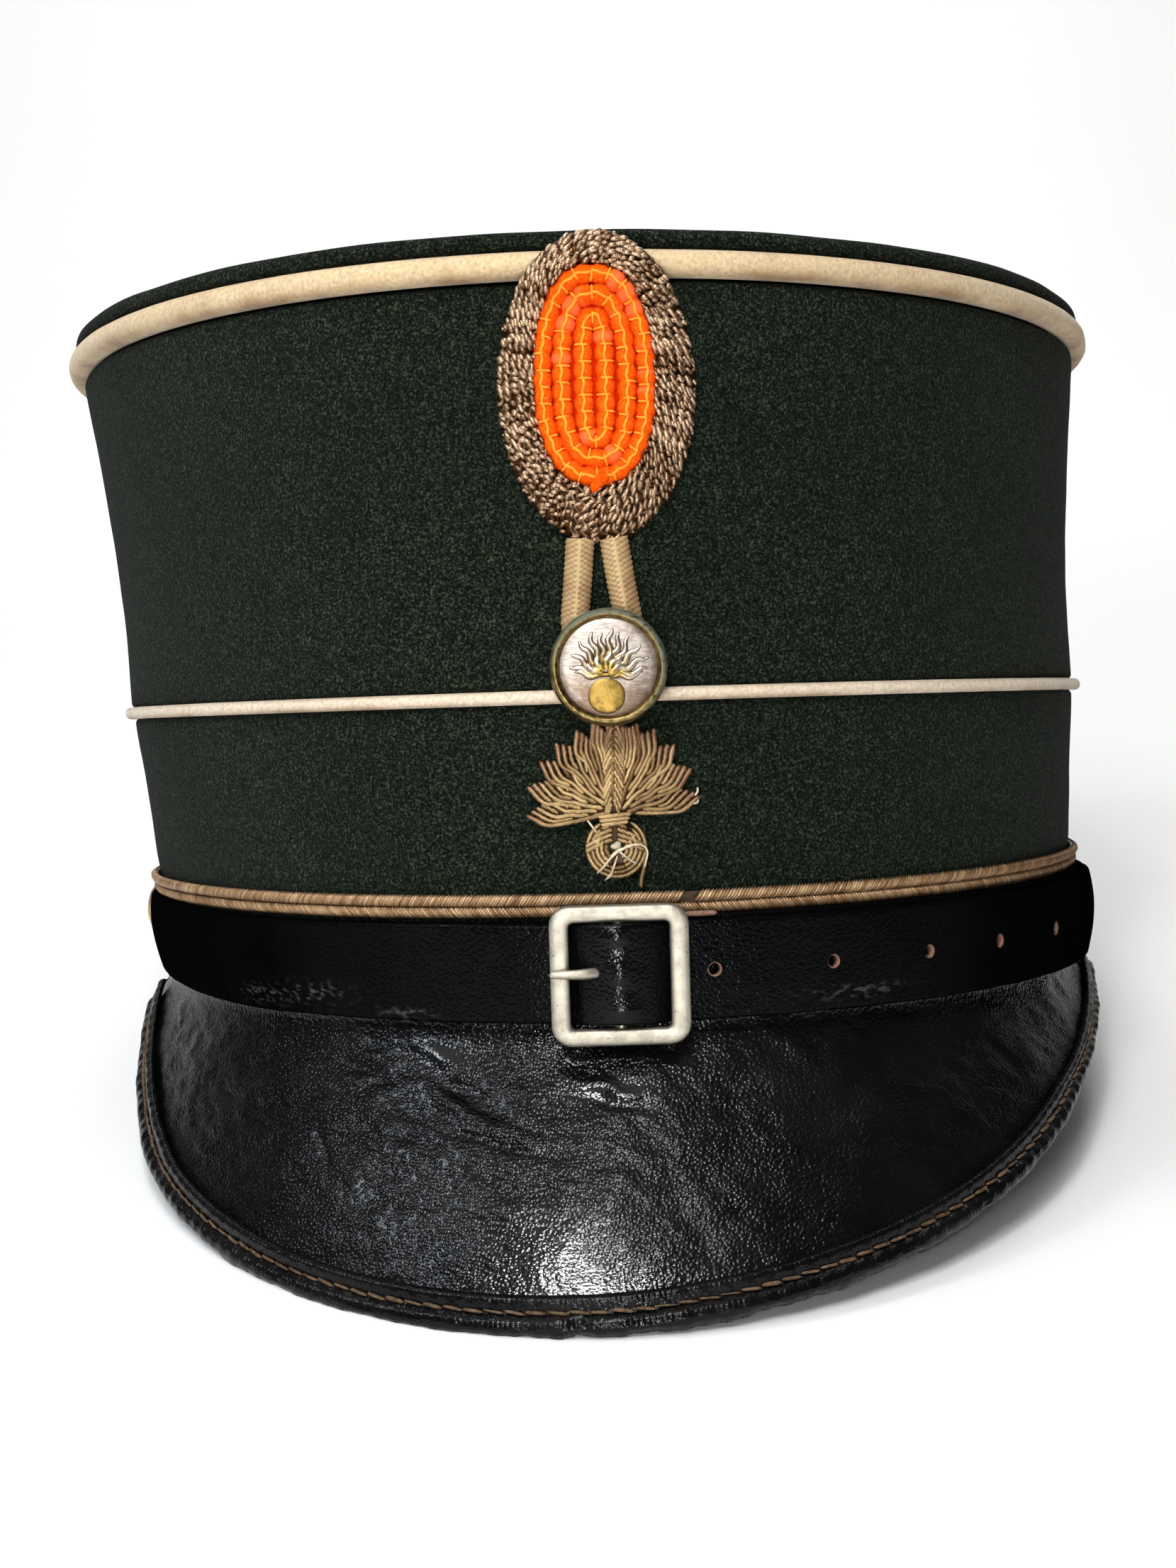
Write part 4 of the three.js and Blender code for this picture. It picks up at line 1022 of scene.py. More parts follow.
def binding_strip(stitch):
    """The leather strip round the peak's edge: ribbed, puckered by its stitches and chipped in front."""
    angle, run = binding_stations(0.22)
    inner = PEAK.thick / 2 + GAP
    outer = inner + BINDING.thick
    along = np.linspace(-BINDING.wide, 0.5, 20)
    nose = np.linspace(math.pi / 2, -math.pi / 2, 9)[1:-1]
    run = run[:, None]
    pucker = 0.5 + 0.5 * np.cos(math.tau * run / stitch)
    rib = np.sin(math.tau * run / 0.74 + 1.2 * np.sin(run / 2.1)) * (0.55 + 0.45 * np.sin(run / 1.7))
    beads = np.exp(-(((along + 3.3) / 0.62) ** 2)), np.exp(-(((along + 0.2) / 0.8) ** 2))
    ridge = 0.30 * beads[0] + 0.28 * beads[1]
    groove = (0.30 + 0.12 * pucker) * np.exp(-(((along - BINDING.stitch_line) / 0.55) ** 2))
    lip = -0.45 * np.clip((-BINDING.wide + 0.35 - along) / 0.35, 0, 1)
    lump = 0.16 * np.sin(run / 3.1) + 0.12 * np.sin(run / 1.3 + 1) + 0.08 * np.sin(run / 0.47)
    chip = 0.7 * np.exp(-(((angle + 0.057) / 0.011) ** 2))[:, None]
    top = outer - 0.12 + ridge * (0.85 + 0.3 * pucker) - groove + lip + lump * 0.6 * (along > -1.5)
    top = top + 0.065 * rib * (beads[0] + beads[1]) - chip * beads[1]
    count = len(angle)
    fixed = [
        (0.5 + 0.9 * np.cos(nose), outer * np.sin(nose)),
        (np.linspace(0.5, -BINDING.wide, 4), np.full(4, -outer)),
        (np.array([-BINDING.wide, GAP, GAP, -BINDING.wide]), np.array([-inner, -inner, inner, inner])),
    ]
    all_along = np.concatenate([along, *(part[0] for part in fixed)]) + np.zeros((count, 1))
    all_along[:, len(along):len(along) + len(nose)] += (lump + 0.05 * rib - chip) * np.cos(nose)
    rest = np.concatenate([part[1] for part in fixed])
    across = np.concatenate([top, np.broadcast_to(rest, (count, len(rest)))], axis=1)
    return Skin(binding_point(angle, all_along, across))


def binding_stitches(stitch, seed=7):
    """Tan stitches that rise from the binding's groove and dip back into it."""
    angle, _ = binding_stations(stitch / 8)
    rng = np.random.default_rng(seed)
    count = len(angle) // 8 - 1
    rows = np.arange(count)[:, None] * 8 + np.arange(9)
    u = np.linspace(-1, 1, 9)
    outer = PEAK.thick / 2 + GAP + BINDING.thick
    slant = rng.normal(0.16, 0.05, count)[:, None] * u
    along = BINDING.stitch_line + slant + rng.normal(0, 0.05, count)[:, None]
    across = outer - 0.42 + 0.26 * np.sqrt(1 - 0.96 * u * u)
    paths = np.stack([
        binding_point(angle[rows[:, p]], along[:, p:p + 1], np.broadcast_to(across[p], (count, 1)))[:, 0]
        for p in range(9)
    ], axis=1)
    thick = rng.normal(0.24, 0.04, count)[:, None] * round_ends(9, 6)
    tint = np.clip(rng.normal(0.5, 0.25, count), 0, 1)[:, None]
    return Skin(strands(paths, thick, FRONT + [0, 0, -0.3], sides=8), tint=tint)


class KEPI_OT_peak(bpy.types.Operator):
    """Makes the creased leather peak"""

    bl_idname = "kepi.peak"
    bl_label = "Peak"

    def execute(self, context):
        leather = context.scene.kepi.leather
        material = leather_finish(leather, "peak_leather", gloss=0.15, shine=0.1, coat=0.28)
        add_piece("leather_peak", peak_sheet(leather.crease / MM), material, "leather", "peak")
        return {"FINISHED"}


class KEPI_OT_binding(bpy.types.Operator):
    """Makes the stitched strip round the peak's edge"""

    bl_idname = "kepi.binding"
    bl_label = "Peak binding"

    def execute(self, context):
        leather = context.scene.kepi.leather
        stitch = leather.stitch / MM
        strip = leather_finish(leather, "binding_leather", gloss=0.2, coarse=0.5, shine=0.1, coat=0.15)
        add_piece("edge_binding", binding_strip(stitch), strip, "binding", "peak_binding")
        thread = thread_finish("tan_thread", leather.thread, scaled(leather.thread, 0.3))
        add_piece("binding_stitches", binding_stitches(stitch), thread, "binding")
        return {"FINISHED"}


# Chin strap and buckle

# Wrinkled places of the strap: middle as sideways place and height, half sizes, depth and size of a wrinkle
STRAP_WRINKLES = (
    (1.0, 3.0, 2.2, 3.0, 0.10, 1.2), (-45.5, 2.2, 6.0, 2.2, 0.24, 1.3), (37.0, 1.2, 6.0, 1.6, 0.24, 1.6),
    (14.0, 7.3, 3.5, 8.0, 0.07, 0.9), (-20.0, 9.0, 9.0, 6.0, 0.06, 1.1),
)

# Lumps where the buckle's bar presses the strap up: middle as sideways place and height, half sizes and rise
STRAP_LUMPS = ((0.0, 12.8, 1.3, 1.0, 0.12), (0.3, 8.0, 1.5, 2.0, 0.14), (1.2, 2.2, 1.8, 1.4, 0.18))

# Scuffed places of the strap, grey partly as painted highlight: middle as sideways place and height, and half
# sizes
STRAP_SCUFFS_AND_HIGHLIGHTS = ((-46.0, 3.4, 5.0, 1.6), (-55.0, 2.6, 4.0, 1.2), (35.0, 2.6, 7.0, 0.9), (-31.0, 1.2, 4.0, 0.8))


def strap_skin(angle, out, thick, low, wave, steps=40):
    """A strap along the base oval with rounded edges and an uneven face, bowed and risen towards its ends."""
    loop = rounded_loop(thick, STRAP.width, STRAP.corner, 2, steps)
    at_side = np.clip((np.abs(angle) - 0.9) / 0.5, 0, 1)[:, None] ** 2
    at_left = np.clip((-angle - 0.75) / 0.8, 0, 1)[:, None]
    bowed = 1.7 * at_side * (2 * loop[:, 1] / STRAP.width) ** 2
    face = out[:, None] + thick / 2 + loop[:, 0] - bowed
    z = low + STRAP.width / 2 + loop[:, 1] * (1 - 0.12 * at_left) + STRAP_RISE * at_left
    points = rim_point(angle[:, None], face, z)
    uneven = wave * (ripple(points, 12.0, 8) + 0.4 * ripple(points, 3.0, 9))
    in_front = points[..., 1] < 0
    for *place, depth, size in STRAP_WRINKLES:
        uneven += depth * patch_share(points, *place) * ripple(points, size, 14) * in_front
    for *place, rise in STRAP_LUMPS:
        uneven += rise * patch_share(points, *place) * in_front
    edge = 0.14 * ripple(points[:, :1] * [1, 1, 0], 7.0, 10) * np.sign(loop[:, 1])
    skin = Skin(rim_point(angle[:, None], face + uneven * (loop[:, 0] > 0), z + edge))
    at_buckle = np.exp(-((points[..., 0] / 4.5) ** 2))
    polish = 0.1 + 0.9 * at_buckle - 0.62 * np.clip((np.abs(angle) - 0.3) / 0.4, 0, 1)[:, None]
    skin.mark("polish", polish)
    # Scuffed places, their lighter grey partly a painted highlight
    skin.mark("scuff", sum(patch_share(points, *place) for place in STRAP_SCUFFS_AND_HIGHLIGHTS))
    return skin


def long_strap_out(x):
    """How far out the long half's inner face lies at a place beside the buckle's middle."""
    return eased(STRAP_OVER_BUCKLE, x, 1.2)


def buckle_point(x, out, z):
    """From the buckle's own frame, which leans with the strap, to the hat."""
    lean = math.atan((rim_half(STRAP.width) - rim_half(0)) / STRAP.width)
    seat = rim_half(BUCKLE.z) + DEPTH_EXTRA
    y, up = -np.asarray(out), np.asarray(z)
    return spread(
        BUCKLE.x + x,
        y * math.cos(lean) - up * math.sin(lean) - seat,
        y * math.sin(lean) + up * math.cos(lean) + BUCKLE.z,
    )


def cut(piece, cutter):
    """Cuts one mesh out of another and removes the cutter."""
    modifier = piece.modifiers.new("cut", "BOOLEAN")
    modifier.object = cutter
    modifier.operation = "DIFFERENCE"
    modifier.solver = "EXACT"
    bpy.context.view_layer.update()
    evaluated = piece.evaluated_get(bpy.context.evaluated_depsgraph_get())
    mesh = bpy.data.meshes.new_from_object(evaluated)
    piece.modifiers.clear()
    piece.data = mesh
    bpy.data.objects.remove(cutter)
    mesh.set_sharp_from_angle(angle=math.radians(50))


def hole_frame(angle):
    """A strap hole's middle on the strap's outer face, and its outward direction."""
    out = long_strap_out(40.0) + STRAP.thick
    return rim_point(np.array(angle), out, STRAP.width / 2), rim_normal(np.array(angle))


def hole_rings(radii, depths):
    """Rings round each hole of the strap, at radii and depths below its face."""
    grids = []
    for angle in np.radians(HOLE.angles):
        middle, normal = hole_frame(angle)
        across = unit(np.cross(normal, [0, 0, 1]))
        up = np.cross(across, normal)
        turn = turn_angles(STEPS.hole)[:, None]
        circle = across * np.cos(turn) + up * np.sin(turn)
        grids.append([middle - normal * depth + circle * radius for radius, depth in zip(radii, depths)])
    return np.array(grids)


def prong_path(count):
    """Middle line of the prong in the buckle's frame, as sideways place and distance out."""
    return bend(np.array(PRONG_PATH), count)


def buckle_frame_skin():
    """The square frame with softly rounded edges, as loops from its outside over its face to its opening."""
    face = BUCKLE.out + BUCKLE.thick
    outside = ((0.22, 1.7), (0.0, 1.45), (0.0, 0.55), (0.14, 0.24), (0.42, 0.06), (0.85, 0.0), (1.3, -0.02))
    inside = ((1.0, -0.02), (0.55, 0.02), (0.22, 0.14), (0.0, 0.45), (0.0, 1.5), (0.2, 1.7))
    loops = []
    for inset, under in outside:
        loops.append((BUCKLE.half_x - inset, BUCKLE.half_z - inset, BUCKLE.corner - inset * 0.8, under))
    for inset, under in inside:
        loops.append((BUCKLE.open_x + inset, BUCKLE.open_z + inset, BUCKLE.inner_corner + inset * 0.8, under))
    rows = []
    for half_x, half_z, corner, under in loops:
        loop = rounded_loop(2 * half_x, 2 * half_z, corner, 14, 14, 9)
        worn = 0.05 * np.sin(loop[:, 0] * 0.9 + 1) + 0.05 * np.cos(loop[:, 1] * 0.8)
        rows.append(buckle_point(loop[:, 0], face - under + worn * 0.5, loop[:, 1]))
    return Skin(np.array(rows), wrap_rows=True)


def buckle_bar_skin():
    """The bar across the buckle's back that holds the strap and the prong."""
    z = np.linspace(-1, 1, 9) * (BUCKLE.half_z + BUCKLE.open_z) / 2
    bow = BUCKLE.bar_out + (BUCKLE.out + 0.6 - BUCKLE.bar_out) * np.abs(np.linspace(-1, 1, 9)) ** 8
    return Skin(strands(buckle_point(0.0, bow, z), BUCKLE.bar_radius, [1.0, 0, 0], sides=10))


def prong_skin():
    """The prong: thick where it leaves the leather, tapering to a rounded tip on the frame."""
    path = prong_path(40)
    points = buckle_point(path[:, 0], path[:, 1], np.full(40, PRONG.rise))
    taper = PRONG.wide * np.interp(np.linspace(0, 1, 40), [0, 0.45, 0.9, 1], [1.0, 1.0, 0.72, 0.6])
    tongue = Skin(strands(points, taper * round_ends(40, 30), FRONT, sides=14, flat=PRONG.flat))
    turn = turn_angles(20)
    eye = buckle_point(1.35 * np.cos(turn), BUCKLE.bar_out + 1.35 * np.sin(turn), np.full(20, PRONG.rise))
    closed = np.concatenate([eye, eye[:1]])
    return tongue.joined(Skin(strands(closed, 0.32, [0, 0, 1.0], sides=8, flat=3.0)))


class KEPI_OT_strap(bpy.types.Operator):
    """Makes both halves of the chin strap, with the row of holes"""

    bl_idname = "kepi.strap"
    bl_label = "Chin strap"

    def execute(self, context):
        leather = context.scene.kepi.leather
        material = leather_finish(leather, "strap_leather", gloss=0.2, worn=0.1, shine=0.0, coat=0.1)
        raw = raw_leather_finish(leather)
        angle = np.radians(np.linspace(-STRAP.back_end, STRAP.tail_end, STEPS.strap))
        x = rim_half(0) * np.sin(angle) + oval_middle(0) - BUCKLE.x
        out = np.where(np.abs(angle) < 1.2, long_strap_out(x), np.where(angle < 0, STRAP.out, 3.7))
        long_half = add_mesh("strap_long_half", strap_skin(angle, out, STRAP.thick, 0.0, 0.14))
        holes = Skin(hole_rings([HOLE.radius] * 2, [-2.0, STRAP.thick + 0.15]))
        path = prong_path(20)
        room = buckle_point(path[:, 0], path[:, 1], np.full(20, PRONG.rise))
        slot = Skin(strands(room[:12], PRONG.wide + 0.12, FRONT, sides=14, flat=0.85))
        cut(long_half, add_mesh("strap_cutter", holes.joined(slot)))
        dress(long_half, material, "strap", "strap_long")
        walls = Skin(hole_rings(
            [HOLE.radius - 0.03, HOLE.radius - HOLE.wall, HOLE.radius - HOLE.wall * 1.3, HOLE.radius - 0.03],
            [0.12, 0.2, STRAP.thick - 0.1, STRAP.thick - 0.05],
        ), wrap_rows=True)
        add_piece("strap_hole_walls", walls, raw, "strap")
        start = math.degrees(rim_angle(BUCKLE.x + SHORT_STRAP.start))
        angle = np.radians(np.linspace(start, STRAP.back_end, STEPS.short_strap))
        out = np.full(STEPS.short_strap, STRAP.out)
        raised = strap_skin(angle, out, SHORT_STRAP.thick, SHORT_STRAP.raised, 0.05, steps=20)
        add_piece("strap_short_half", raised, material, "strap", "strap_short")
        start_edge = rim_angle(np.linspace(BUCKLE.x + 9.5, BUCKLE.x + 14.2, 12))
        top = STRAP.width + SHORT_STRAP.raised
        torn = rim_point(start_edge, np.full(12, STRAP.out + SHORT_STRAP.thick + 0.15), top + 0.05)
        edge = Skin(strands(torn, 0.42 * round_ends(12), FRONT, sides=8))
        add_piece("strap_raw_edge", edge, raw, "strap")
        return {"FINISHED"}


class KEPI_OT_buckle(bpy.types.Operator):
    """Makes the buckle's frame and its prong"""

    bl_idname = "kepi.buckle"
    bl_label = "Buckle"

    def execute(self, context):
        metal = context.scene.kepi.metal
        material = metal_finish("worn_nickel", metal.nickel, metal.dirt, rough=0.5, pits=0.6, deep=0.8)
        square = buckle_frame_skin().joined(buckle_bar_skin())
        add_piece("buckle_square", square, material, "nickel", "buckle_frame")
        add_piece("buckle_tongue", prong_skin(), material, "nickel", "buckle_prong")
        return {"FINISHED"}


# Cockade

def drop_shape(angle, half_x, half_z):
    """An oval with square shoulders and a shorter lower end, as across and up."""
    low = np.clip(-np.cos(angle), 0, 1)
    square = 1 + 0.045 * np.sin(2 * angle) ** 2
    return half_x * square * np.sin(angle), half_z * square * np.cos(angle) * (1 - 0.06 * low)


def ring_lift(u):
    """Height of the cockade's ring over the cloth, from its inner to its outer edge."""
    return np.interp(u, [0, 0.35, 0.75, 1], [2.75, 3.2, 2.5, 1.0])


def ring_place(angle, u):
    """A place on the cockade's ring, from its inner edge at u 0 to its outer edge at u 1."""
    inner_x, inner_z = drop_shape(angle, CENTRE.half_x, CENTRE.half_z)
    x = CENTRE.x + inner_x + (COCKADE.x + COCKADE.half_x * np.sin(angle) - CENTRE.x - inner_x) * u
    low, high = CENTRE.z + inner_z, COCKADE.z + COCKADE.half_z * np.cos(angle)
    return x, low + (high - low) * u


def cockade_strands(count, thick, seed=11):
    """Crinkled strands laid across the ring, each a short corkscrew of metal thread."""
    rng = np.random.default_rng(seed)
    steps = 46
    fine = turn_angles(2000)
    x, z = ring_place(fine, 0.5)
    run = np.concatenate([[0], np.cumsum(np.hypot(np.diff(x), np.diff(z)))])
    angle = np.interp((np.arange(count) + rng.normal(0, 0.12, count)) / count * run[-1], run, fine)[:, None]
    u = np.linspace(0.0, 0.98, steps)[None] + rng.normal(0, 0.015, count)[:, None]
    turns = rng.uniform(4.6, 6.0, count)[:, None]
    drift = rng.normal(0, 0.35, count)[:, None] * np.sin(math.pi * u + rng.uniform(0, 6, count)[:, None])
    phase = math.tau * (turns * u + rng.uniform(0, 1, count)[:, None]) + drift
    swing = rng.uniform(0.30, 0.46, count)[:, None]
    kink = np.arcsin(0.93 * np.sin(phase)) * 0.8
    knot = np.arcsin(0.93 * np.cos(phase)) * 0.8
    angle = angle + rng.normal(0, 0.05, count)[:, None] * (u - 0.5)
    x, z = ring_place(angle, u)
    ahead_x, ahead_z = ring_place(angle + 0.01, u)
    step = np.hypot(ahead_x - x, ahead_z - z)
    crinkle = np.stack([x, angle * 40 + 0 * x, z], axis=-1)
    side = swing * kink + 0.5 * drift + 0.7 * ripple(crinkle, 0.9, 12)
    lift = ring_lift(u) - 0.45 + 1.05 * swing * knot + 0.5 * ripple(crinkle, 0.8, 13)
    paths = front_point(x + (ahead_x - x) / step * side, z + (ahead_z - z) / step * side, lift)
    radius = thick / 2 * rng.uniform(0.85, 1.15, count)[:, None] * round_ends(steps, 20)
    # Tint: random for each strand, with a painted highlight on each crinkle's raised crests and painted shade
    # in its dips
    tint = np.clip(rng.normal(0.42, 0.22, count), 0, 1)[:, None] + 0.28 * knot
    along = np.linspace(0, 12, steps)[None]
    return Skin(strands(paths, radius, FRONT, sides=6), tint=tint, along=along)


def ring_pad():
    """The padding under the ring's strands, dark with painted shade where it shows between them."""
    angle = turn_angles(160)[:, None]
    u = np.array([0.02, 0.02, 0.35, 0.75, 0.98, 0.98, 0.5])[None]
    lift = np.array([GAP, 1.9, 2.4, 1.7, 0.7, GAP, GAP])[None]
    x, z = ring_place(angle, u)
    return Skin(front_point(x, z, lift), wrap_rows=True, tint=-0.2, hollow=0.3)


CORD = Sizes(half=1.5, lift=1.55, tall=1.45, pitch=2.3, steps=16)
# Turns of the orange cord, from the outside in, with the shares of each turn between which it has faded
CORD_TURNS = (
    Sizes(half_x=7.4, half_z=14.2, square=2.3,
          faded=((0.035, 0.125), (0.19, 0.20), (0.235, 0.245), (0.27, 0.282))),
    Sizes(half_x=4.6, half_z=11.5, square=2.6,
          faded=((0.865, 0.97), (0.075, 0.095), (0.79, 0.81), (0.44, 0.47))),
    Sizes(half_x=1.55, half_z=8.8, square=3.2, faded=((0.08, 0.12), (0.52, 0.55))),
)
# The cord's end below its turns, as places from the centre: across, up and off the cloth
CORD_TAIL = ((1.4, -13.1, 2.3), (0.4, -13.9, 2.8), (-0.3, -14.8, 2.8), (-0.7, -15.6, 2.2))


def cord_path(turn, count):
    """One oblong turn of the orange cord, clockwise from its top, as across and up, and its length."""
    angle = turn_angles(720)
    power = 2 / turn.square
    sine, cosine = np.sin(angle), np.cos(angle)
    x = turn.half_x * np.sign(sine) * np.abs(sine) ** power
    z = turn.half_z * np.sign(cosine) * np.abs(cosine) ** power * (1 - 0.06 * np.clip(-cosine, 0, 1))
    return even_path(np.stack([x, z], axis=-1), count, closed=True)


def sideways(path):
    """Unit directions to the outside of a closed clockwise path."""
    step = unit(np.roll(path, -1, axis=0) - np.roll(path, 1, axis=0))
    return np.stack([-step[:, 1], step[:, 0]], axis=-1)


def in_stretches(places, stretches):
    """1 inside any of the stretches of a closed path, with soft ends."""
    amount = np.zeros(len(places))
    for start, end in stretches:
        middle, half = (start + end) / 2, (end - start) / 2
        far = np.abs((places - middle + 0.5) % 1 - 0.5)
        amount = np.maximum(amount, np.clip((half - far) / 0.008 + 0.5, 0, 1))
    return amount


def orange_cords(seed=21):
    """The cord turns, pinched at each couching stitch, and the thread that couches them."""
    rng = np.random.default_rng(seed)
    cords, ticks, crests = [], [], []
    for turn in CORD_TURNS:
        stitches = int(cord_path(turn, 100)[1] / CORD.pitch)
        count = CORD.steps * stitches
        path, _ = cord_path(turn, count)
        side = sideways(path)
        place = np.arange(count) / count
        pinch = np.abs(np.cos(math.pi * place * stitches)) ** 5
        ring = turn_angles(18)[None]
        swell = (1 - 0.2 * pinch)[:, None]
        across = CORD.half * swell * np.cos(ring)
        up = CORD.lift + CORD.tall * swell * np.sin(ring)
        x = CENTRE.x + path[:, :1] + side[:, :1] * across
        z = CENTRE.z + path[:, 1:] + side[:, 1:] * across
        faded = 0.55 * in_stretches(place, turn.faded) * (1 - pinch)
        skin = Skin(front_point(x, z, np.maximum(up, GAP)), wrap_rows=True, faded=faded[None])
        # Painted shade on the sides and underside of each turn, where the turns meet each other and the cloth
        skin.mark("hollow", np.clip(0.98 - np.sin(ring), 0, 1) ** 1.1 * np.ones((count, 1)))
        cords.append(skin)
        crest = 0.13 * np.sin(math.tau * place * stitches + 0.6) + 0.05
        height = CORD.lift + CORD.tall * swell[:, 0] + 0.05
        x = CENTRE.x + path[:, 0] + side[:, 0] * crest
        z = CENTRE.z + path[:, 1] + side[:, 1] * crest
        line = front_point(x, z, height)
        crests.append(Skin(strands(np.concatenate([line, line[:1]]), 0.2, FRONT, sides=6)))
        for stitch in range(stitches):
            middle = stitch * CORD.steps
            roll = np.radians(np.linspace(rng.uniform(-82, -58), rng.uniform(10, 40), 10))
            over = 0.82 * CORD.half * np.sin(roll) * (-1.05 if rng.random() < 0.5 else 1.05)
            rise = CORD.lift + 0.82 * CORD.tall * np.cos(roll) + 0.12
            slide = middle + (np.linspace(-0.5, 0.5, 10) * rng.normal(0.6, 1.0)).round().astype(int)
            base, way = path[slide % count], side[slide % count]
            x = CENTRE.x + base[:, 0] + way[:, 0] * over
            z = CENTRE.z + base[:, 1] + way[:, 1] * over
            ticks.append(front_point(x, z, rise))
    thread = Skin(strands(np.array(ticks), 0.17 * round_ends(10, 10), FRONT, sides=6))
    tail = bend(np.array([front_point(CENTRE.x + x, CENTRE.z + z, lift) for x, z, lift in CORD_TAIL]), 16)
    taper = 0.85 * np.linspace(1.2, 0.8, 16) * round_ends(16, 6)
    # The cord's end is darkened a little with painted shade
    end = Skin(strands(tail, taper, FRONT, sides=12), hollow=0.25)
    return cords[0].joined(*cords[1:], centre_pad(), end), thread.joined(*crests)


def centre_pad():
    """The padding under the orange cords, deep red with painted shade where it shows between them."""
    angle = turn_angles(90)[None]
    shares = np.array([0.03, 0.5, 0.97, 1.0, 0.5])[:, None]
    lift = np.array([1.9, 1.7, 1.5, GAP, GAP])[:, None]
    x, z = drop_shape(angle, CENTRE.half_x * shares, CENTRE.half_z * shares)
    return Skin(front_point(CENTRE.x + x, CENTRE.z + z, lift), hollow=1.0)


def loop_skin():
    """The braided cord from the cockade down round the button's shank and back up."""
    turn = np.linspace(-math.pi / 2, math.pi / 2, 12)
    arc = np.stack([LOOP.turn_radius * np.sin(turn), BUTTON.z - LOOP.turn_radius * np.cos(turn)], axis=-1)
    side = np.array(LOOP_SIDE)
    path = np.concatenate([side * [-1, 1], arc, side[::-1] - np.outer([0, 0, 0.3, 0.65], [1, 0])])
    above = np.clip((path[:, 1] - BUTTON.z) / (LOOP.low_z - BUTTON.z), 0, 1)
    path[:, 0] += LOOP.sway * above
    path, run = even_path(path, 440)
    step = unit(np.gradient(path, axis=0))
    way = np.stack([-step[:, 1], step[:, 0]], axis=-1)
    ring = turn_angles(40)
    sine = np.sin(ring)
    place = np.linspace(0, run, len(path))[:, None]
    lean = np.abs(np.cos(ring))[None] * LOOP.half_width
    plait = np.sin(math.tau * (place - 1.1 * lean) / LOOP.pitch) * np.sin(math.pi * lean / 0.62 + 0.6)
    seam = 0.12 * np.exp(-((lean / 0.3) ** 2)) * (sine > 0)
    proud = 1 + 0.1 * plait * (sine > -0.2)
    across = LOOP.half_width * np.cos(ring) * (1 + 0.03 * plait)
    full = LOOP.half_thick * np.sign(sine) * np.abs(sine) ** 0.75
    up = GAP + LOOP.half_thick + full * proud + seam
    x = BUTTON.x + path[:, :1] + way[:, :1] * across
    z = path[:, 1:] + way[:, 1:] * across
    skin = Skin(front_point(x, z, up))
    # Tint: a painted highlight on the raised plaits and along the crest, and painted shade towards the edges
    ridge = 0.5 * np.exp(-((lean / 0.45) ** 2))
    edge = 0.35 * np.clip(lean / LOOP.half_width - 0.55, 0, 1)
    tint = np.clip(0.45 + 0.5 * plait + ridge - edge, 0, 1).ravel()
    skin.values["tint"] = np.concatenate([tint, [0.5, 0.5]])
    return skin


class KEPI_OT_cockade(bpy.types.Operator):
    """Makes the bullion ring, the couched orange centre and the loop of the cockade"""

    bl_idname = "kepi.cockade"
    bl_label = "Cockade and loop"

    def execute(self, context):
        trim = context.scene.kepi.trim
        bullion = metal_thread_finish("crinkled_bullion", trim.ring, trim.tarnish, metallic=0.95, rough=0.34)
        ring = cockade_strands(trim.ring_strands, trim.ring_strand / MM).joined(ring_pad())
        add_piece("cockade_bullion", ring, bullion, "bullion", "cockade_ring")
        cords, thread = orange_cords()
        add_piece("cockade_cords", cords, orange_finish(trim), "orange", "cockade_centre")
        couching = thread_finish("couching_thread", trim.couching, scaled(trim.couching, 0.7))
        add_piece("cockade_couching", thread, couching, "orange")
        plaited = metal_thread_finish("loop_braid", trim.loop, trim.braid_dark, metallic=0.35, rough=0.48)
        add_piece("loop_cord", loop_skin(), plaited, "braid", "cockade_loop")
        return {"FINISHED"}


# Front button

# Profiles of the button's rim and face, as radius and distance up from its back
BUTTON_RIM = (
    (0.5, 0.0), (7.1, 0.0), (7.9, 0.35), (8.3, 0.95), (8.36, 1.4), (8.24, 1.9), (8.0, 2.3), (7.98, 2.42),
    (8.1, 2.55), (8.0, 2.78), (7.7, 2.92), (7.4, 2.9), (7.18, 2.72), (7.05, 2.4), (6.95, 2.25), (6.6, 2.1),
    (0.5, 2.1),
)
BUTTON_FACE = (
    (0.05, 2.62), (2.0, 2.6), (4.0, 2.53), (6.0, 2.4), (6.8, 2.3), (7.0, 2.15), (6.9, 1.9), (0.05, 1.9),
)
FLAME_NECK = Sizes(x=-0.45, z=-0.8)
# Tips of the button's flame, from its neck
FLAME_TIPS = (
    (0.9, 6.3), (-0.5, 5.6), (-1.9, 5.7), (-3.4, 4.6), (-4.6, 3.0), (-5.0, 1.2), (-4.3, 0.2), (2.2, 5.6),
    (3.5, 4.9), (4.9, 3.9), (6.0, 2.3), (5.9, 0.5), (5.3, -0.2), (0.6, 3.2), (-1.3, 2.4), (2.1, 2.6),
    (-2.6, 1.3), (3.0, 1.2),
)
BOMB = Sizes(x=-0.35, z=-3.96, radius=2.62)


def button_point(x, up, z):
    """A point of the front button, by its distance up from the button's back."""
    seat = front_point(BUTTON.x, BUTTON.z, BUTTON.lift)[1]
    return spread(BUTTON.x + x, seat - np.asarray(up), BUTTON.z + z)


def button_turned(profile, wobble=0.0):
    """A turned piece of the button from its profile of radius and distance up."""
    angle = turn_angles(STEPS.button)[None]
    radius, up = (np.array(column)[:, None] for column in zip(*profile))
    radius = radius + wobble * (np.sin(3 * angle + 1) + 0.6 * np.sin(7 * angle)) * (radius > 7.9)
    skin = Skin(button_point(radius * np.sin(angle), up, radius * np.cos(angle)))
    skin.mark("low", np.clip(0.2 - radius * np.cos(angle) / 6, 0, 1))
    return skin


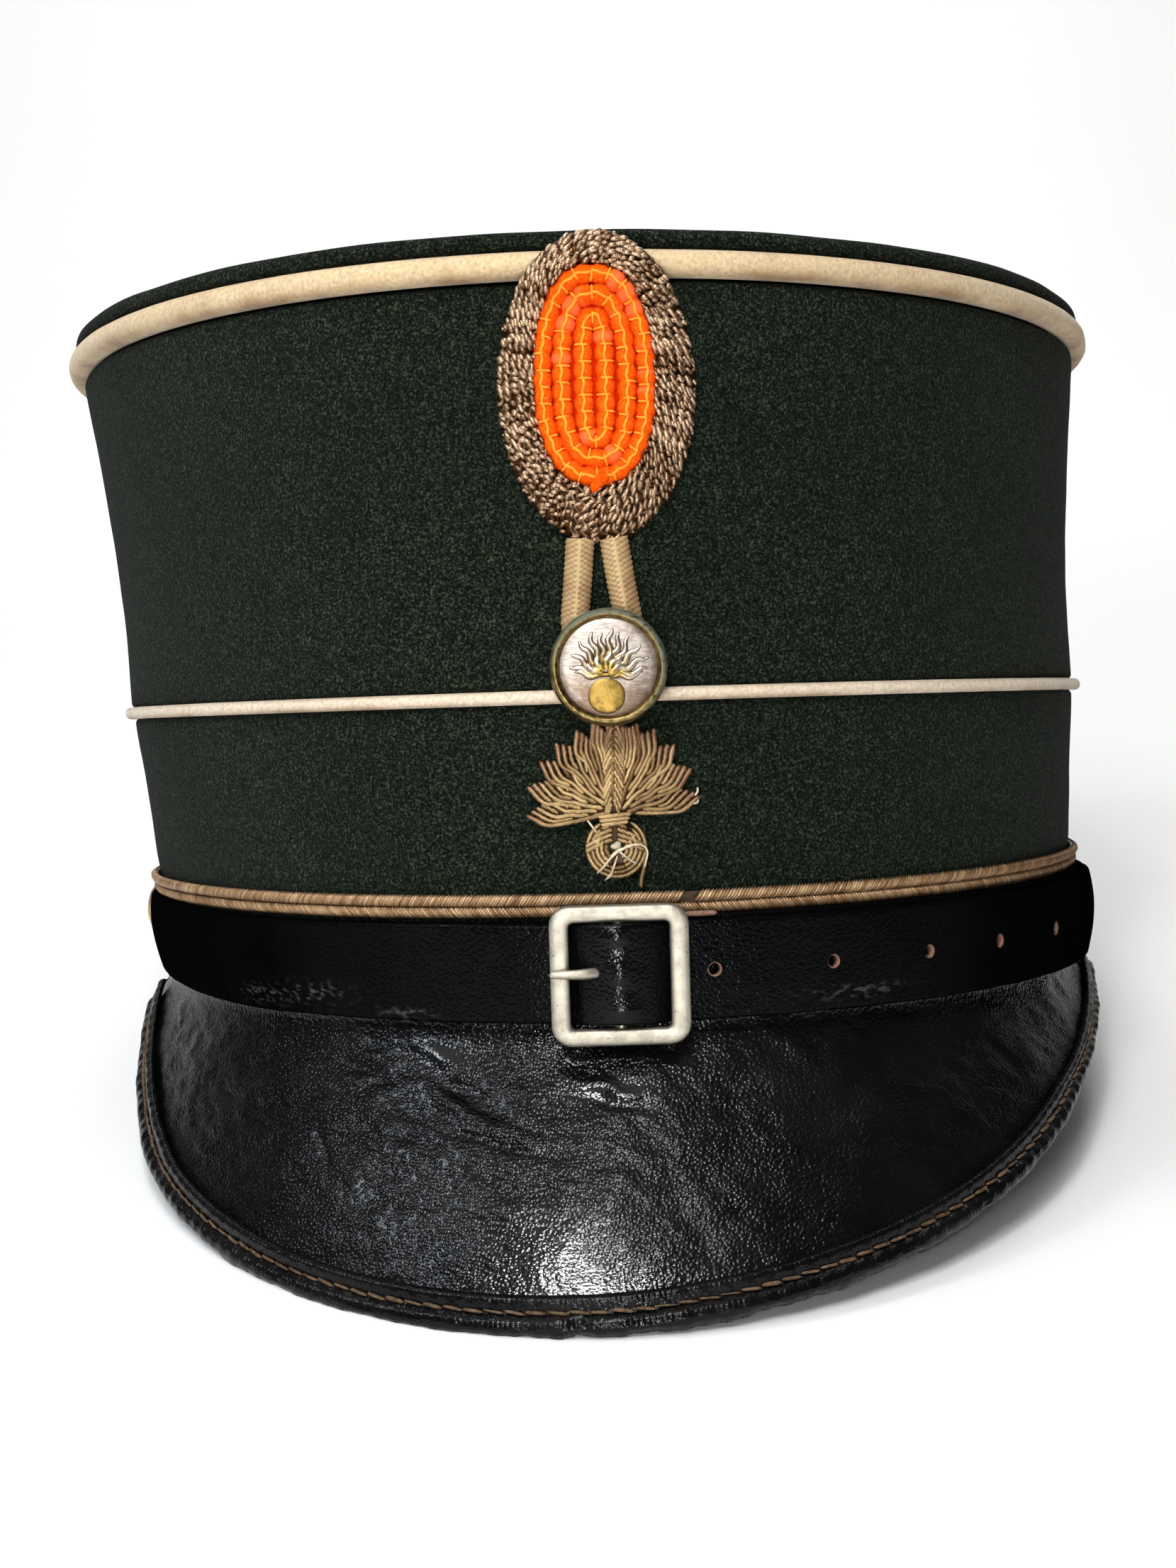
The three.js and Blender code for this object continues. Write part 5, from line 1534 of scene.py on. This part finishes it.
def flame_tongues(swell=0.0, sunk=0.0, seed=5):
    """Wavy tongues of flame that fan out from the grenade's neck, the shorter ones in front."""
    rng = np.random.default_rng(seed)
    tips = np.array(FLAME_TIPS)
    count = len(tips)
    u = np.linspace(0, 1, 30)[None]
    bearing = np.arctan2(tips[:, 0], tips[:, 1])[:, None]
    reach = np.hypot(*tips.T)[:, None]
    bow = bearing + np.sign(bearing) * 0.26 * (1 - u) * np.sin(2 * np.minimum(np.abs(bearing), 0.8))
    phase = math.tau * (reach / 3.1) * u + rng.uniform(0, 2.5, count)[:, None]
    wave = 0.27 * np.sin(phase) * np.minimum(1, 2.2 * u)
    far = 0.35 + (reach - 0.35) * u
    x = FLAME_NECK.x + far * np.sin(bow) + wave * np.cos(bow)
    z = FLAME_NECK.z + far * np.cos(bow) - wave * np.sin(bow)
    front = (reach < 3.6) * 0.18
    up = np.interp(np.hypot(x, z), [0, 7], [2.62, 2.32]) + 0.1 + front + 0.1 * (1 - u) - sunk
    thick = np.interp(u, [0, 0.2, 0.55, 0.85, 1], [0.34, 0.50, 0.45, 0.30, 0.09]) * (1 + 0.4 * (reach < 3.6))
    return Skin(strands(button_point(x, up, z), thick + swell, FRONT, sides=8, flat=0.7), tip=u)


def grenade_ball(swell=0.0, sunk=0.0):
    """The plain bomb and its collar in low relief."""
    angle = turn_angles(48)[None]
    slope = np.linspace(0.05, math.pi / 2, 12)[:, None]
    radius = (BOMB.radius + swell) * np.sin(slope)
    up = 2.4 - sunk + 0.42 * np.cos(slope) ** 0.5 + np.zeros_like(angle)
    ball = Skin(button_point(BOMB.x + radius * np.sin(angle), up, BOMB.z + 0.96 * radius * np.cos(angle)))
    width = np.linspace(-1, 1, 16)
    rim = button_point(-0.3 + 1.6 * width, 2.72 - sunk + 0.1 * np.cos(width), -1.05 + 0.12 * width ** 2)
    return ball.joined(Skin(strands(rim, (0.26 + swell) * round_ends(16, 10), FRONT, sides=8)))


class KEPI_OT_button(bpy.types.Operator):
    """Makes the front button with its flaming grenade"""

    bl_idname = "kepi.button"
    bl_label = "Front button"

    def execute(self, context):
        metal = context.scene.kepi.metal
        rim = button_turned(BUTTON_RIM, 0.035)
        outside = np.array(BUTTON_RIM)[:, :1] > 7.65
        facing_up = np.clip(0.6 + 0.65 * np.cos(turn_angles(STEPS.button) - 0.5), 0, 1)
        rim.mark("patina", outside * facing_up)
        shank = front_point(BUTTON.x, BUTTON.z, np.linspace(GAP, BUTTON.lift + 0.5, 4))
        post = Skin(strands(shank, 1.4, [1.0, 0, 0], sides=12))
        add_piece("button_rim", rim.joined(post), rim_finish(metal), "button", "front_button")
        add_piece("button_face", button_turned(BUTTON_FACE), silver_finish(metal), "button")
        stain = scaled(metal.gilt, 0.2)
        gilt = metal_finish("gilt_relief", metal.gilt, stain, rough=0.45, pits=0.8, deep=0.3)
        add_piece("button_bomb", grenade_ball(), gilt, "button")
        add_piece("button_flames", flame_tongues(), flame_finish(metal), "button")
        outline = flame_tongues(0.08, 0.12).joined(grenade_ball(0.14, 0.16))
        dark = metal_finish("button_dirt", scaled(metal.dirt, 3.2), metal.dirt, rough=0.6)
        add_piece("button_outline", outline, dark, "button")
        return {"FINISHED"}


# Grenade badge

# Tongues of the flame from left to right: how far from the neck the first and the last strand's tips lie,
# and how many strands there are
TONGUES = (
    (12.5, 8.9, 6), (12.9, 9.6, 6), (13.0, 10.0, 5), (13.1, 10.3, 5), (13.2, 10.8, 5), (13.7, 12.0, 4),
    (13.2, 12.8, 3), (12.9, 12.9, 3), (12.9, 13.6, 3), (12.0, 13.8, 4), (10.9, 13.5, 5), (10.4, 13.2, 6),
    (9.3, 13.0, 6),
)
FAN = Sizes(reach=13.2, neck=0.8, low=math.radians(-99), high=math.radians(90), curl=0.14, curl_run=3.6,
            spread=0.06)
EAR = Sizes(pairs=12, low=2.0, high=12.9, reach=1.35, drop=2.6, lean=0.04)


def badge_point(x, z, lift):
    """A point over the badge's cloth, from its neck."""
    return front_point(BADGE.x + np.asarray(x), BADGE.neck_z + np.asarray(z), lift)


def badge_thread(places, count):
    """Middle line of a loose thread through places on the badge."""
    return bend(np.array([badge_point(*place) for place in places]), count)


def ease(amount):
    """A soft step from 0 to 1."""
    amount = np.clip(amount, 0, 1)
    return amount * amount * (3 - 2 * amount)


def fan_strands(thick, seed=3):
    """Strands of the flame, which share out the fan at every distance from its neck and curl at the tips."""
    rng = np.random.default_rng(seed)
    steps = 24
    far = np.concatenate([np.linspace(*tongue) for tongue in TONGUES])
    count = len(far)
    order = np.array([int(f"{strand:06b}"[::-1], 2) for strand in range(count)]) / 64
    end = np.minimum(FAN.neck + 9.2 * order ** 0.95, far - 2.6)
    r = end[:, None] + (far - end)[:, None] * np.linspace(0, 1, steps)
    alive = ease((r[..., None] - end) / 2.6 + 0.6)
    total = alive.sum(axis=-1)
    before = np.cumsum(alive, axis=-1) - alive / 2
    own = np.take_along_axis(before, np.arange(count)[:, None, None], axis=-1)[..., 0]
    angle = FAN.low + (FAN.high - FAN.low) * own / total
    angle = angle * (1 + FAN.spread * (1 - r / FAN.reach))
    tip = ease(1 - (far[:, None] - r) / FAN.curl_run)
    angle = angle - np.clip(angle / 0.5, -1, 1) * FAN.curl * tip
    wide = np.clip((FAN.high - FAN.low) * r / total * 1.25, 0.8 * thick, 1.25 * thick)
    lift = 1.0 + 0.35 * np.sin(math.pi * r / FAN.reach) - 0.2 * tip + rng.normal(0, 0.08, count)[:, None]
    return badge_point(r * np.sin(angle), r * np.cos(angle), lift), 0.5 * wide * round_ends(steps, 14)


def ear_strands(thick, seed=8):
    """Pairs of strands that lean together along the flame's middle line."""
    rng = np.random.default_rng(seed)
    u = np.linspace(0, 1, 24)
    paths = []
    for z in np.linspace(EAR.low, EAR.high, EAR.pairs):
        reach = EAR.reach * min(1.0, 0.4 + z / 9) * min(1.0, 0.5 + (EAR.high + 1.5 - z) / 5)
        for way in (-1, 1):
            x = EAR.lean * z + way * (0.14 + reach * u)
            fall = z + 0.3 * way - EAR.drop * u ** 1.2 + rng.normal(0, 0.08)
            paths.append(badge_point(x, fall, 1.62 - 0.35 * u + rng.normal(0, 0.05)))
    return np.array(paths), 0.5 * thick * round_ends(24, 14)[None]


def bomb_strands(thick, seed=9):
    """Strands of the bomb: arcs down its sides, slanted ones at its top and across its foot."""
    rng = np.random.default_rng(seed)
    steps = 22
    u = np.linspace(-1, 1, steps)
    paths = []
    for way in (-1, 1):
        for ring in range(5):
            radius = BADGE.ball - 0.35 - ring * thick * 0.98
            turn = math.radians(96 + 4 * ring) + u * math.radians(68 - 6 * ring)
            dome = 1.0 + 0.3 * ring + 0.1 * np.cos(u)
            x = BADGE.ball_x + way * radius * np.sin(turn)
            paths.append(badge_point(x, BADGE.ball_z + radius * np.cos(turn), dome))
        for slant in range(4):
            reach = 0.75 + 0.62 * min(slant, 2)
            x = BADGE.ball_x - 0.2 + way * (0.3 + (u + 1) * reach)
            z = -1.45 - 0.74 * slant - 0.36 * reach * (u + 1) ** 1.25
            paths.append(badge_point(x, z, 1.75 - 0.2 * np.abs(u) + rng.normal(0, 0.05)))
    for foot in range(3):
        radius = BADGE.ball - 0.35 - foot * thick * 0.95
        turn = math.pi + u * math.radians(34 - 5 * foot)
        x = BADGE.ball_x + radius * np.sin(turn)
        paths.append(badge_point(x, BADGE.ball_z + radius * np.cos(turn), 1.1 + 0.3 * foot))
    for band in range(3):
        reach = 2.5 - 0.25 * band
        paths.append(badge_point(0.3 + reach * u, -0.2 - band * thick * 0.85 + 0.2 * u, 1.8 - 0.25 * u * u))
    return np.array(paths), 0.5 * thick * round_ends(steps, 14)[None]


def badge_pads():
    """Low padding under the flame and the bomb, dark with painted shade where it shows between the strands.
    """
    angle = turn_angles(96)
    bearing = (angle + math.pi) % math.tau - math.pi
    fan = np.where((bearing < FAN.low) | (bearing > FAN.high), 1.2, 9.0)
    shares = np.array([0.05, 0.6, 0.9, 1.0, 1.0, 0.5])[:, None]
    lift = np.array([0.45, 0.55, 0.5, 0.4, GAP, GAP])[:, None]
    flame = Skin(badge_point(shares * fan * np.sin(angle), shares * fan * np.cos(angle), lift), hollow=0.85)
    ball = BADGE.ball - 0.4
    x = BADGE.ball_x + shares * ball * np.sin(angle)
    bomb = Skin(badge_point(x, BADGE.ball_z + shares * ball * np.cos(angle), lift * 1.3), hollow=0.85)
    return flame.joined(bomb)


# Loose pale threads of the badge, as places from its neck: across, up and off the cloth
PALE_THREADS = (
    ((-3.7, -0.7, 1.7), (-3.1, -1.5, 2.0), (-2.3, -2.7, 2.0)),
    ((1.2, -4.9, 2.4), (2.6, -4.45, 2.8), (4.1, -4.4, 2.7), (5.0, -5.4, 2.3), (4.6, -7.0, 2.0),
     (4.2, -8.5, 1.6)),
    ((0.9, -5.2, 2.5), (-0.4, -6.2, 2.6), (-1.3, -7.4, 2.2), (-2.6, -8.7, 1.2)),
    ((0.6, -5.8, 2.4), (0.1, -7.2, 2.3), (-0.4, -8.6, 1.6), (-1.5, -9.8, 0.9)),
    ((-0.2, -8.4, 1.7), (-0.5, -9.0, 1.3), (-1.2, -9.4, 1.0)),
    ((2.0, -4.9, 2.5), (0.9, -5.0, 2.7), (-0.1, -5.7, 2.6), (-0.9, -6.9, 2.3)),
    ((0.4, -5.0, 2.5), (1.4, -5.9, 2.6), (2.6, -6.9, 2.2), (3.4, -7.3, 1.8)),
    ((0.2, -5.4, 2.5), (1.2, -5.2, 2.7), (2.0, -4.6, 2.6), (2.6, -5.0, 2.5)),
    ((11.9, 2.2, 1.3), (12.4, 2.8, 1.4), (12.4, 3.5, 1.2)),
    ((11.7, 1.1, 1.3), (12.3, 1.2, 1.4), (12.5, 1.7, 1.2)),
)
DANGLING = ((4.4, -6.6, 1.9), (4.4, -7.8, 1.6), (3.9, -9.4, 1.3), (3.8, -11.0, 1.1))


def badge_strands(thick, seed=31):
    """All the twisted strands of the badge, copper coloured far from its neck."""
    rng = np.random.default_rng(seed)
    skins = []
    for paths, radius in (fan_strands(thick), ear_strands(thick), bomb_strands(thick)):
        tint = np.clip(rng.normal(0.6, 0.2, len(paths)), 0, 1)[:, None]
        along = run_along(paths)
        rings = strands(paths, radius, FRONT, sides=9, ply=math.tau * along / 0.9)
        from_neck = paths[..., [0, 2]] - [BADGE.x, BADGE.neck_z]
        far = np.clip((np.linalg.norm(from_neck, axis=-1) - 9.5) / 2.5, 0, 1)
        skins.append(Skin(rings, tint=tint, along=along, copper=far * (from_neck[..., 1] > -2)))
    return skins[0].joined(*skins[1:])


def loose_threads():
    """The badge's loose pale threads and the knot in the bomb's middle that they come from."""
    paths = np.array([badge_thread(places, 18) for places in PALE_THREADS])
    turn = turn_angles(24)[None]
    far = np.array([0.05, 0.4, 0.7, 0.95])[:, None] * (1 + 0.15 * np.sin(3 * turn))
    lift = np.array([2.3, 2.2, 1.9, 1.2])[:, None]
    x = BADGE.ball_x + far * np.sin(turn)
    z = BADGE.ball_z + 0.2 + 0.8 * far * np.cos(turn)
    threads = Skin(strands(paths, 0.15 * round_ends(18, 10), FRONT, sides=6))
    return threads.joined(Skin(badge_point(x, z, lift)))


class KEPI_OT_badge(bpy.types.Operator):
    """Makes the embroidered flaming grenade with its loose threads"""

    bl_idname = "kepi.badge"
    bl_label = "Grenade badge"

    def execute(self, context):
        trim = context.scene.kepi.trim
        thick = trim.badge_strand / MM
        hanging = strands(badge_thread(DANGLING, 16), 0.48 * thick * round_ends(16, 14), FRONT)
        tail = Skin(hanging, tint=0.25, along=np.linspace(0, 5, 16))
        whole = badge_strands(thick).joined(badge_pads(), tail)
        bright = scaled(trim.bullion, 0.6)
        bullion = metal_thread_finish("badge_bullion", bright, trim.tarnish)
        add_piece("badge_bullion", whole, bullion, "bullion", "grenade_badge")
        pale = thread_finish("pale_thread", trim.pale, scaled(trim.pale, 0.6))
        add_piece("badge_loose_threads", loose_threads(), pale, "bullion")
        return {"FINISHED"}


# Side buttons

# Profile of a side button, as radius and distance up from its back
SIDE_PROFILE = (
    (0.02, 0.0), (4.6, 0.0), (5.6, 0.35), (6.0, 1.0), (5.9, 1.35), (5.5, 1.5), (5.3, 1.42), (5.1, 1.6),
    (4.6, 2.35), (3.6, 3.05), (2.2, 3.55), (1.0, 3.76), (0.02, 3.8),
)


def side_button(way):
    """A domed button with a raised edge at one end of the chin strap, and its short shank."""
    turn = way * math.radians(SIDE_BUTTON.angle)
    normal = rim_normal(np.array(turn))
    across = unit(np.cross(normal, [0, 0, 1]))
    thick = STRAP.thick if way < 0 else SHORT_STRAP.thick
    rise = STRAP_RISE if way < 0 else SHORT_STRAP.raised
    seat = rim_point(np.array(turn), STRAP.out + thick + SIDE_BUTTON.lift, SIDE_BUTTON.z + rise)
    angle = turn_angles(48)[:, None]
    circle = across * np.cos(angle) + np.array([0, 0, 1.0]) * np.sin(angle)
    head = Skin(np.array([seat + normal * up + circle * radius for radius, up in SIDE_PROFILE]))
    shank = Skin(np.array([seat + normal * up + circle * 1.5 for up in (-0.6, 0.2)]))
    return head.joined(shank)


class KEPI_OT_side_buttons(bpy.types.Operator):
    """Makes the plain buttons at the chin strap's ends"""

    bl_idname = "kepi.side_buttons"
    bl_label = "Side buttons"

    def execute(self, context):
        metal = context.scene.kepi.metal
        material = metal_finish("dull_brass", metal.brass, metal.dirt, rough=0.32)
        for way, side in ((-1, "left"), (1, "right")):
            add_piece(f"strap_button_{side}", side_button(way), material, "brass", f"side_button_{side}")
        return {"FINISHED"}


# Stage

def camera_axes():
    """The camera's right, up and backward directions in the hat's frame."""
    forward = np.array([
        math.sin(CAMERA.yaw) * math.cos(CAMERA.pitch),
        math.cos(CAMERA.yaw) * math.cos(CAMERA.pitch),
        -math.sin(CAMERA.pitch),
    ])
    right = np.array([math.cos(CAMERA.yaw), -math.sin(CAMERA.yaw), 0])
    up = np.cross(right, forward)
    turned = math.cos(CAMERA.roll) * right + math.sin(CAMERA.roll) * up
    risen = -math.sin(CAMERA.roll) * right + math.cos(CAMERA.roll) * up
    return np.stack([turned, risen, -forward], axis=-1)


def add_camera():
    """The camera at the photograph's place and angle to the hat."""
    data = bpy.data.cameras.new("camera")
    data.sensor_width = SENSOR_MM
    data.lens = SENSOR_MM * CAMERA.focal_px / PHOTO_HEIGHT_PX
    data.clip_start = 0.01
    camera = bpy.data.objects.new("camera", data)
    turn = Matrix(HAT_TURN @ camera_axes()).to_4x4()
    camera.matrix_world = Matrix.Translation(to_world(CAMERA.place)) @ turn
    bpy.context.scene.collection.objects.link(camera)
    bpy.context.scene.camera = camera
    return camera


def add_light(name, place, aim, size, power, tall=None, tint=(1.0, 1.0, 1.0)):
    """A soft oblong light that points at a place."""
    data = bpy.data.lights.new(name, "AREA")
    data.shape = "RECTANGLE"
    data.size = size
    data.size_y = tall or size
    data.energy = power
    data.color = tint
    light = bpy.data.objects.new(name, data)
    way = Vector(aim) - Vector(place)
    light.matrix_world = Matrix.Translation(place) @ way.to_track_quat("-Z", "Y").to_matrix().to_4x4()
    bpy.context.scene.collection.objects.link(light)


def add_floor(stage):
    """A pale floor that sweeps up into a backdrop."""
    turn = np.linspace(0, math.pi / 2, 14)
    y = np.concatenate([[-2.4, 0.0, 1.2], 1.6 + 0.9 * np.sin(turn), [2.5]])
    z = np.concatenate([[0, 0, 0], 0.9 - 0.9 * np.cos(turn), [3.2]])
    points = [(x, along, up) for along, up in zip(y, z) for x in (-3.0, 3.0)]
    faces = [(2 * i, 2 * i + 1, 2 * i + 3, 2 * i + 2) for i in range(len(y) - 1)]
    mesh = bpy.data.meshes.new("floor")
    mesh.from_pydata(points, [], faces)
    mesh.shade_smooth()
    finish = Finish("pale_floor", Roughness=0.85, Specular_IOR_Level=0.1)
    dim = scaled(stage.floor, 0.985)
    finish.set("Base Color", finish.ramp(finish.spots(0.4), (0.3, dim), (0.7, stage.floor)))
    mesh.materials.append(finish.material)
    floor = bpy.data.objects.new("floor", mesh)
    bpy.context.scene.collection.objects.link(floor)


class KEPI_OT_stage(bpy.types.Operator):
    """Sets the camera, the pale floor and the soft light"""

    bl_idname = "kepi.stage"
    bl_label = "Stage"

    def execute(self, context):
        stage = context.scene.kepi.stage
        low, high = CAD_BOX
        middle = (low + high) / 2
        camera = add_camera()
        add_floor(stage)
        beside = camera.matrix_world.translation + Vector((-0.13, 0.0, 0.10))
        add_light("key_light", beside, middle, 0.20, stage.key_power)
        add_light("catch_light", beside + Vector((0.08, 0.0, -0.12)), middle, 0.03, stage.catch_power)
        add_light("strip_light", (-0.08, -0.42, 0.41), middle, 0.19, stage.strip_power, tall=0.038)
        add_light("ridge_light", (-0.03, -0.30, 0.47), middle, 0.04, stage.ridge_power, tall=0.09)
        add_light("low_light", (0.01, -0.47, 0.035), (0.0, -0.1, 0.04), 0.035, stage.low_power, tall=0.035)
        add_light("top_light", (-0.25, -0.2, 1.7), middle, 1.6, stage.top_power)
        cool = (0.84, 0.92, 1.0)
        add_light("side_light", (-0.72, -0.28, 0.75), middle, 0.22, stage.side_power, tint=cool)
        add_light("window_light", (-0.95, -0.1, 0.75), middle, 0.5, stage.window_power, tint=cool)
        add_light("back_light", (0.0, 1.1, 2.4), (0.0, 2.4, 0.6), 1.4, stage.back_power)
        world = bpy.data.worlds.new("room")
        world.use_nodes = True
        world.node_tree.nodes["Background"].inputs["Color"].default_value = (1, 1, 1, 1)
        world.node_tree.nodes["Background"].inputs["Strength"].default_value = stage.ambient
        context.scene.world = world
        context.scene.view_settings.view_transform = "Standard"
        return {"FINISHED"}


OPERATORS = (
    KEPI_OT_wool, KEPI_OT_piping, KEPI_OT_braid, KEPI_OT_peak, KEPI_OT_binding, KEPI_OT_strap, KEPI_OT_buckle,
    KEPI_OT_cockade, KEPI_OT_button, KEPI_OT_badge, KEPI_OT_side_buttons, KEPI_OT_stage,
)


class KEPI_PT_pieces(bpy.types.Panel):
    """Lists the kepi's pieces"""

    bl_idname = "KEPI_PT_pieces"
    bl_label = "Kepi"
    bl_space_type = "VIEW_3D"
    bl_region_type = "UI"
    bl_category = "Kepi"

    def draw(self, context):
        for operator in OPERATORS:
            self.layout.operator(operator.bl_idname)
        for group in ("cloth", "leather", "trim", "metal", "stage"):
            box = self.layout.box()
            settings = getattr(context.scene.kepi, group)
            for name in settings.__annotations__:
                box.prop(settings, name)


CLASSES = (
    KepiCloth, KepiLeather, KepiTrim, KepiMetal, KepiStage, KepiSettings, *OPERATORS, KEPI_PT_pieces,
)


def register():
    for item in CLASSES:
        bpy.utils.register_class(item)
    bpy.types.Scene.kepi = PointerProperty(type=KepiSettings)


def unregister():
    del bpy.types.Scene.kepi
    for item in reversed(CLASSES):
        bpy.utils.unregister_class(item)


def main():
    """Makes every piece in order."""
    register()
    for operator in OPERATORS:
        group, name = operator.bl_idname.split(".")
        getattr(getattr(bpy.ops, group), name)()


if __name__ == "__main__":
    main()
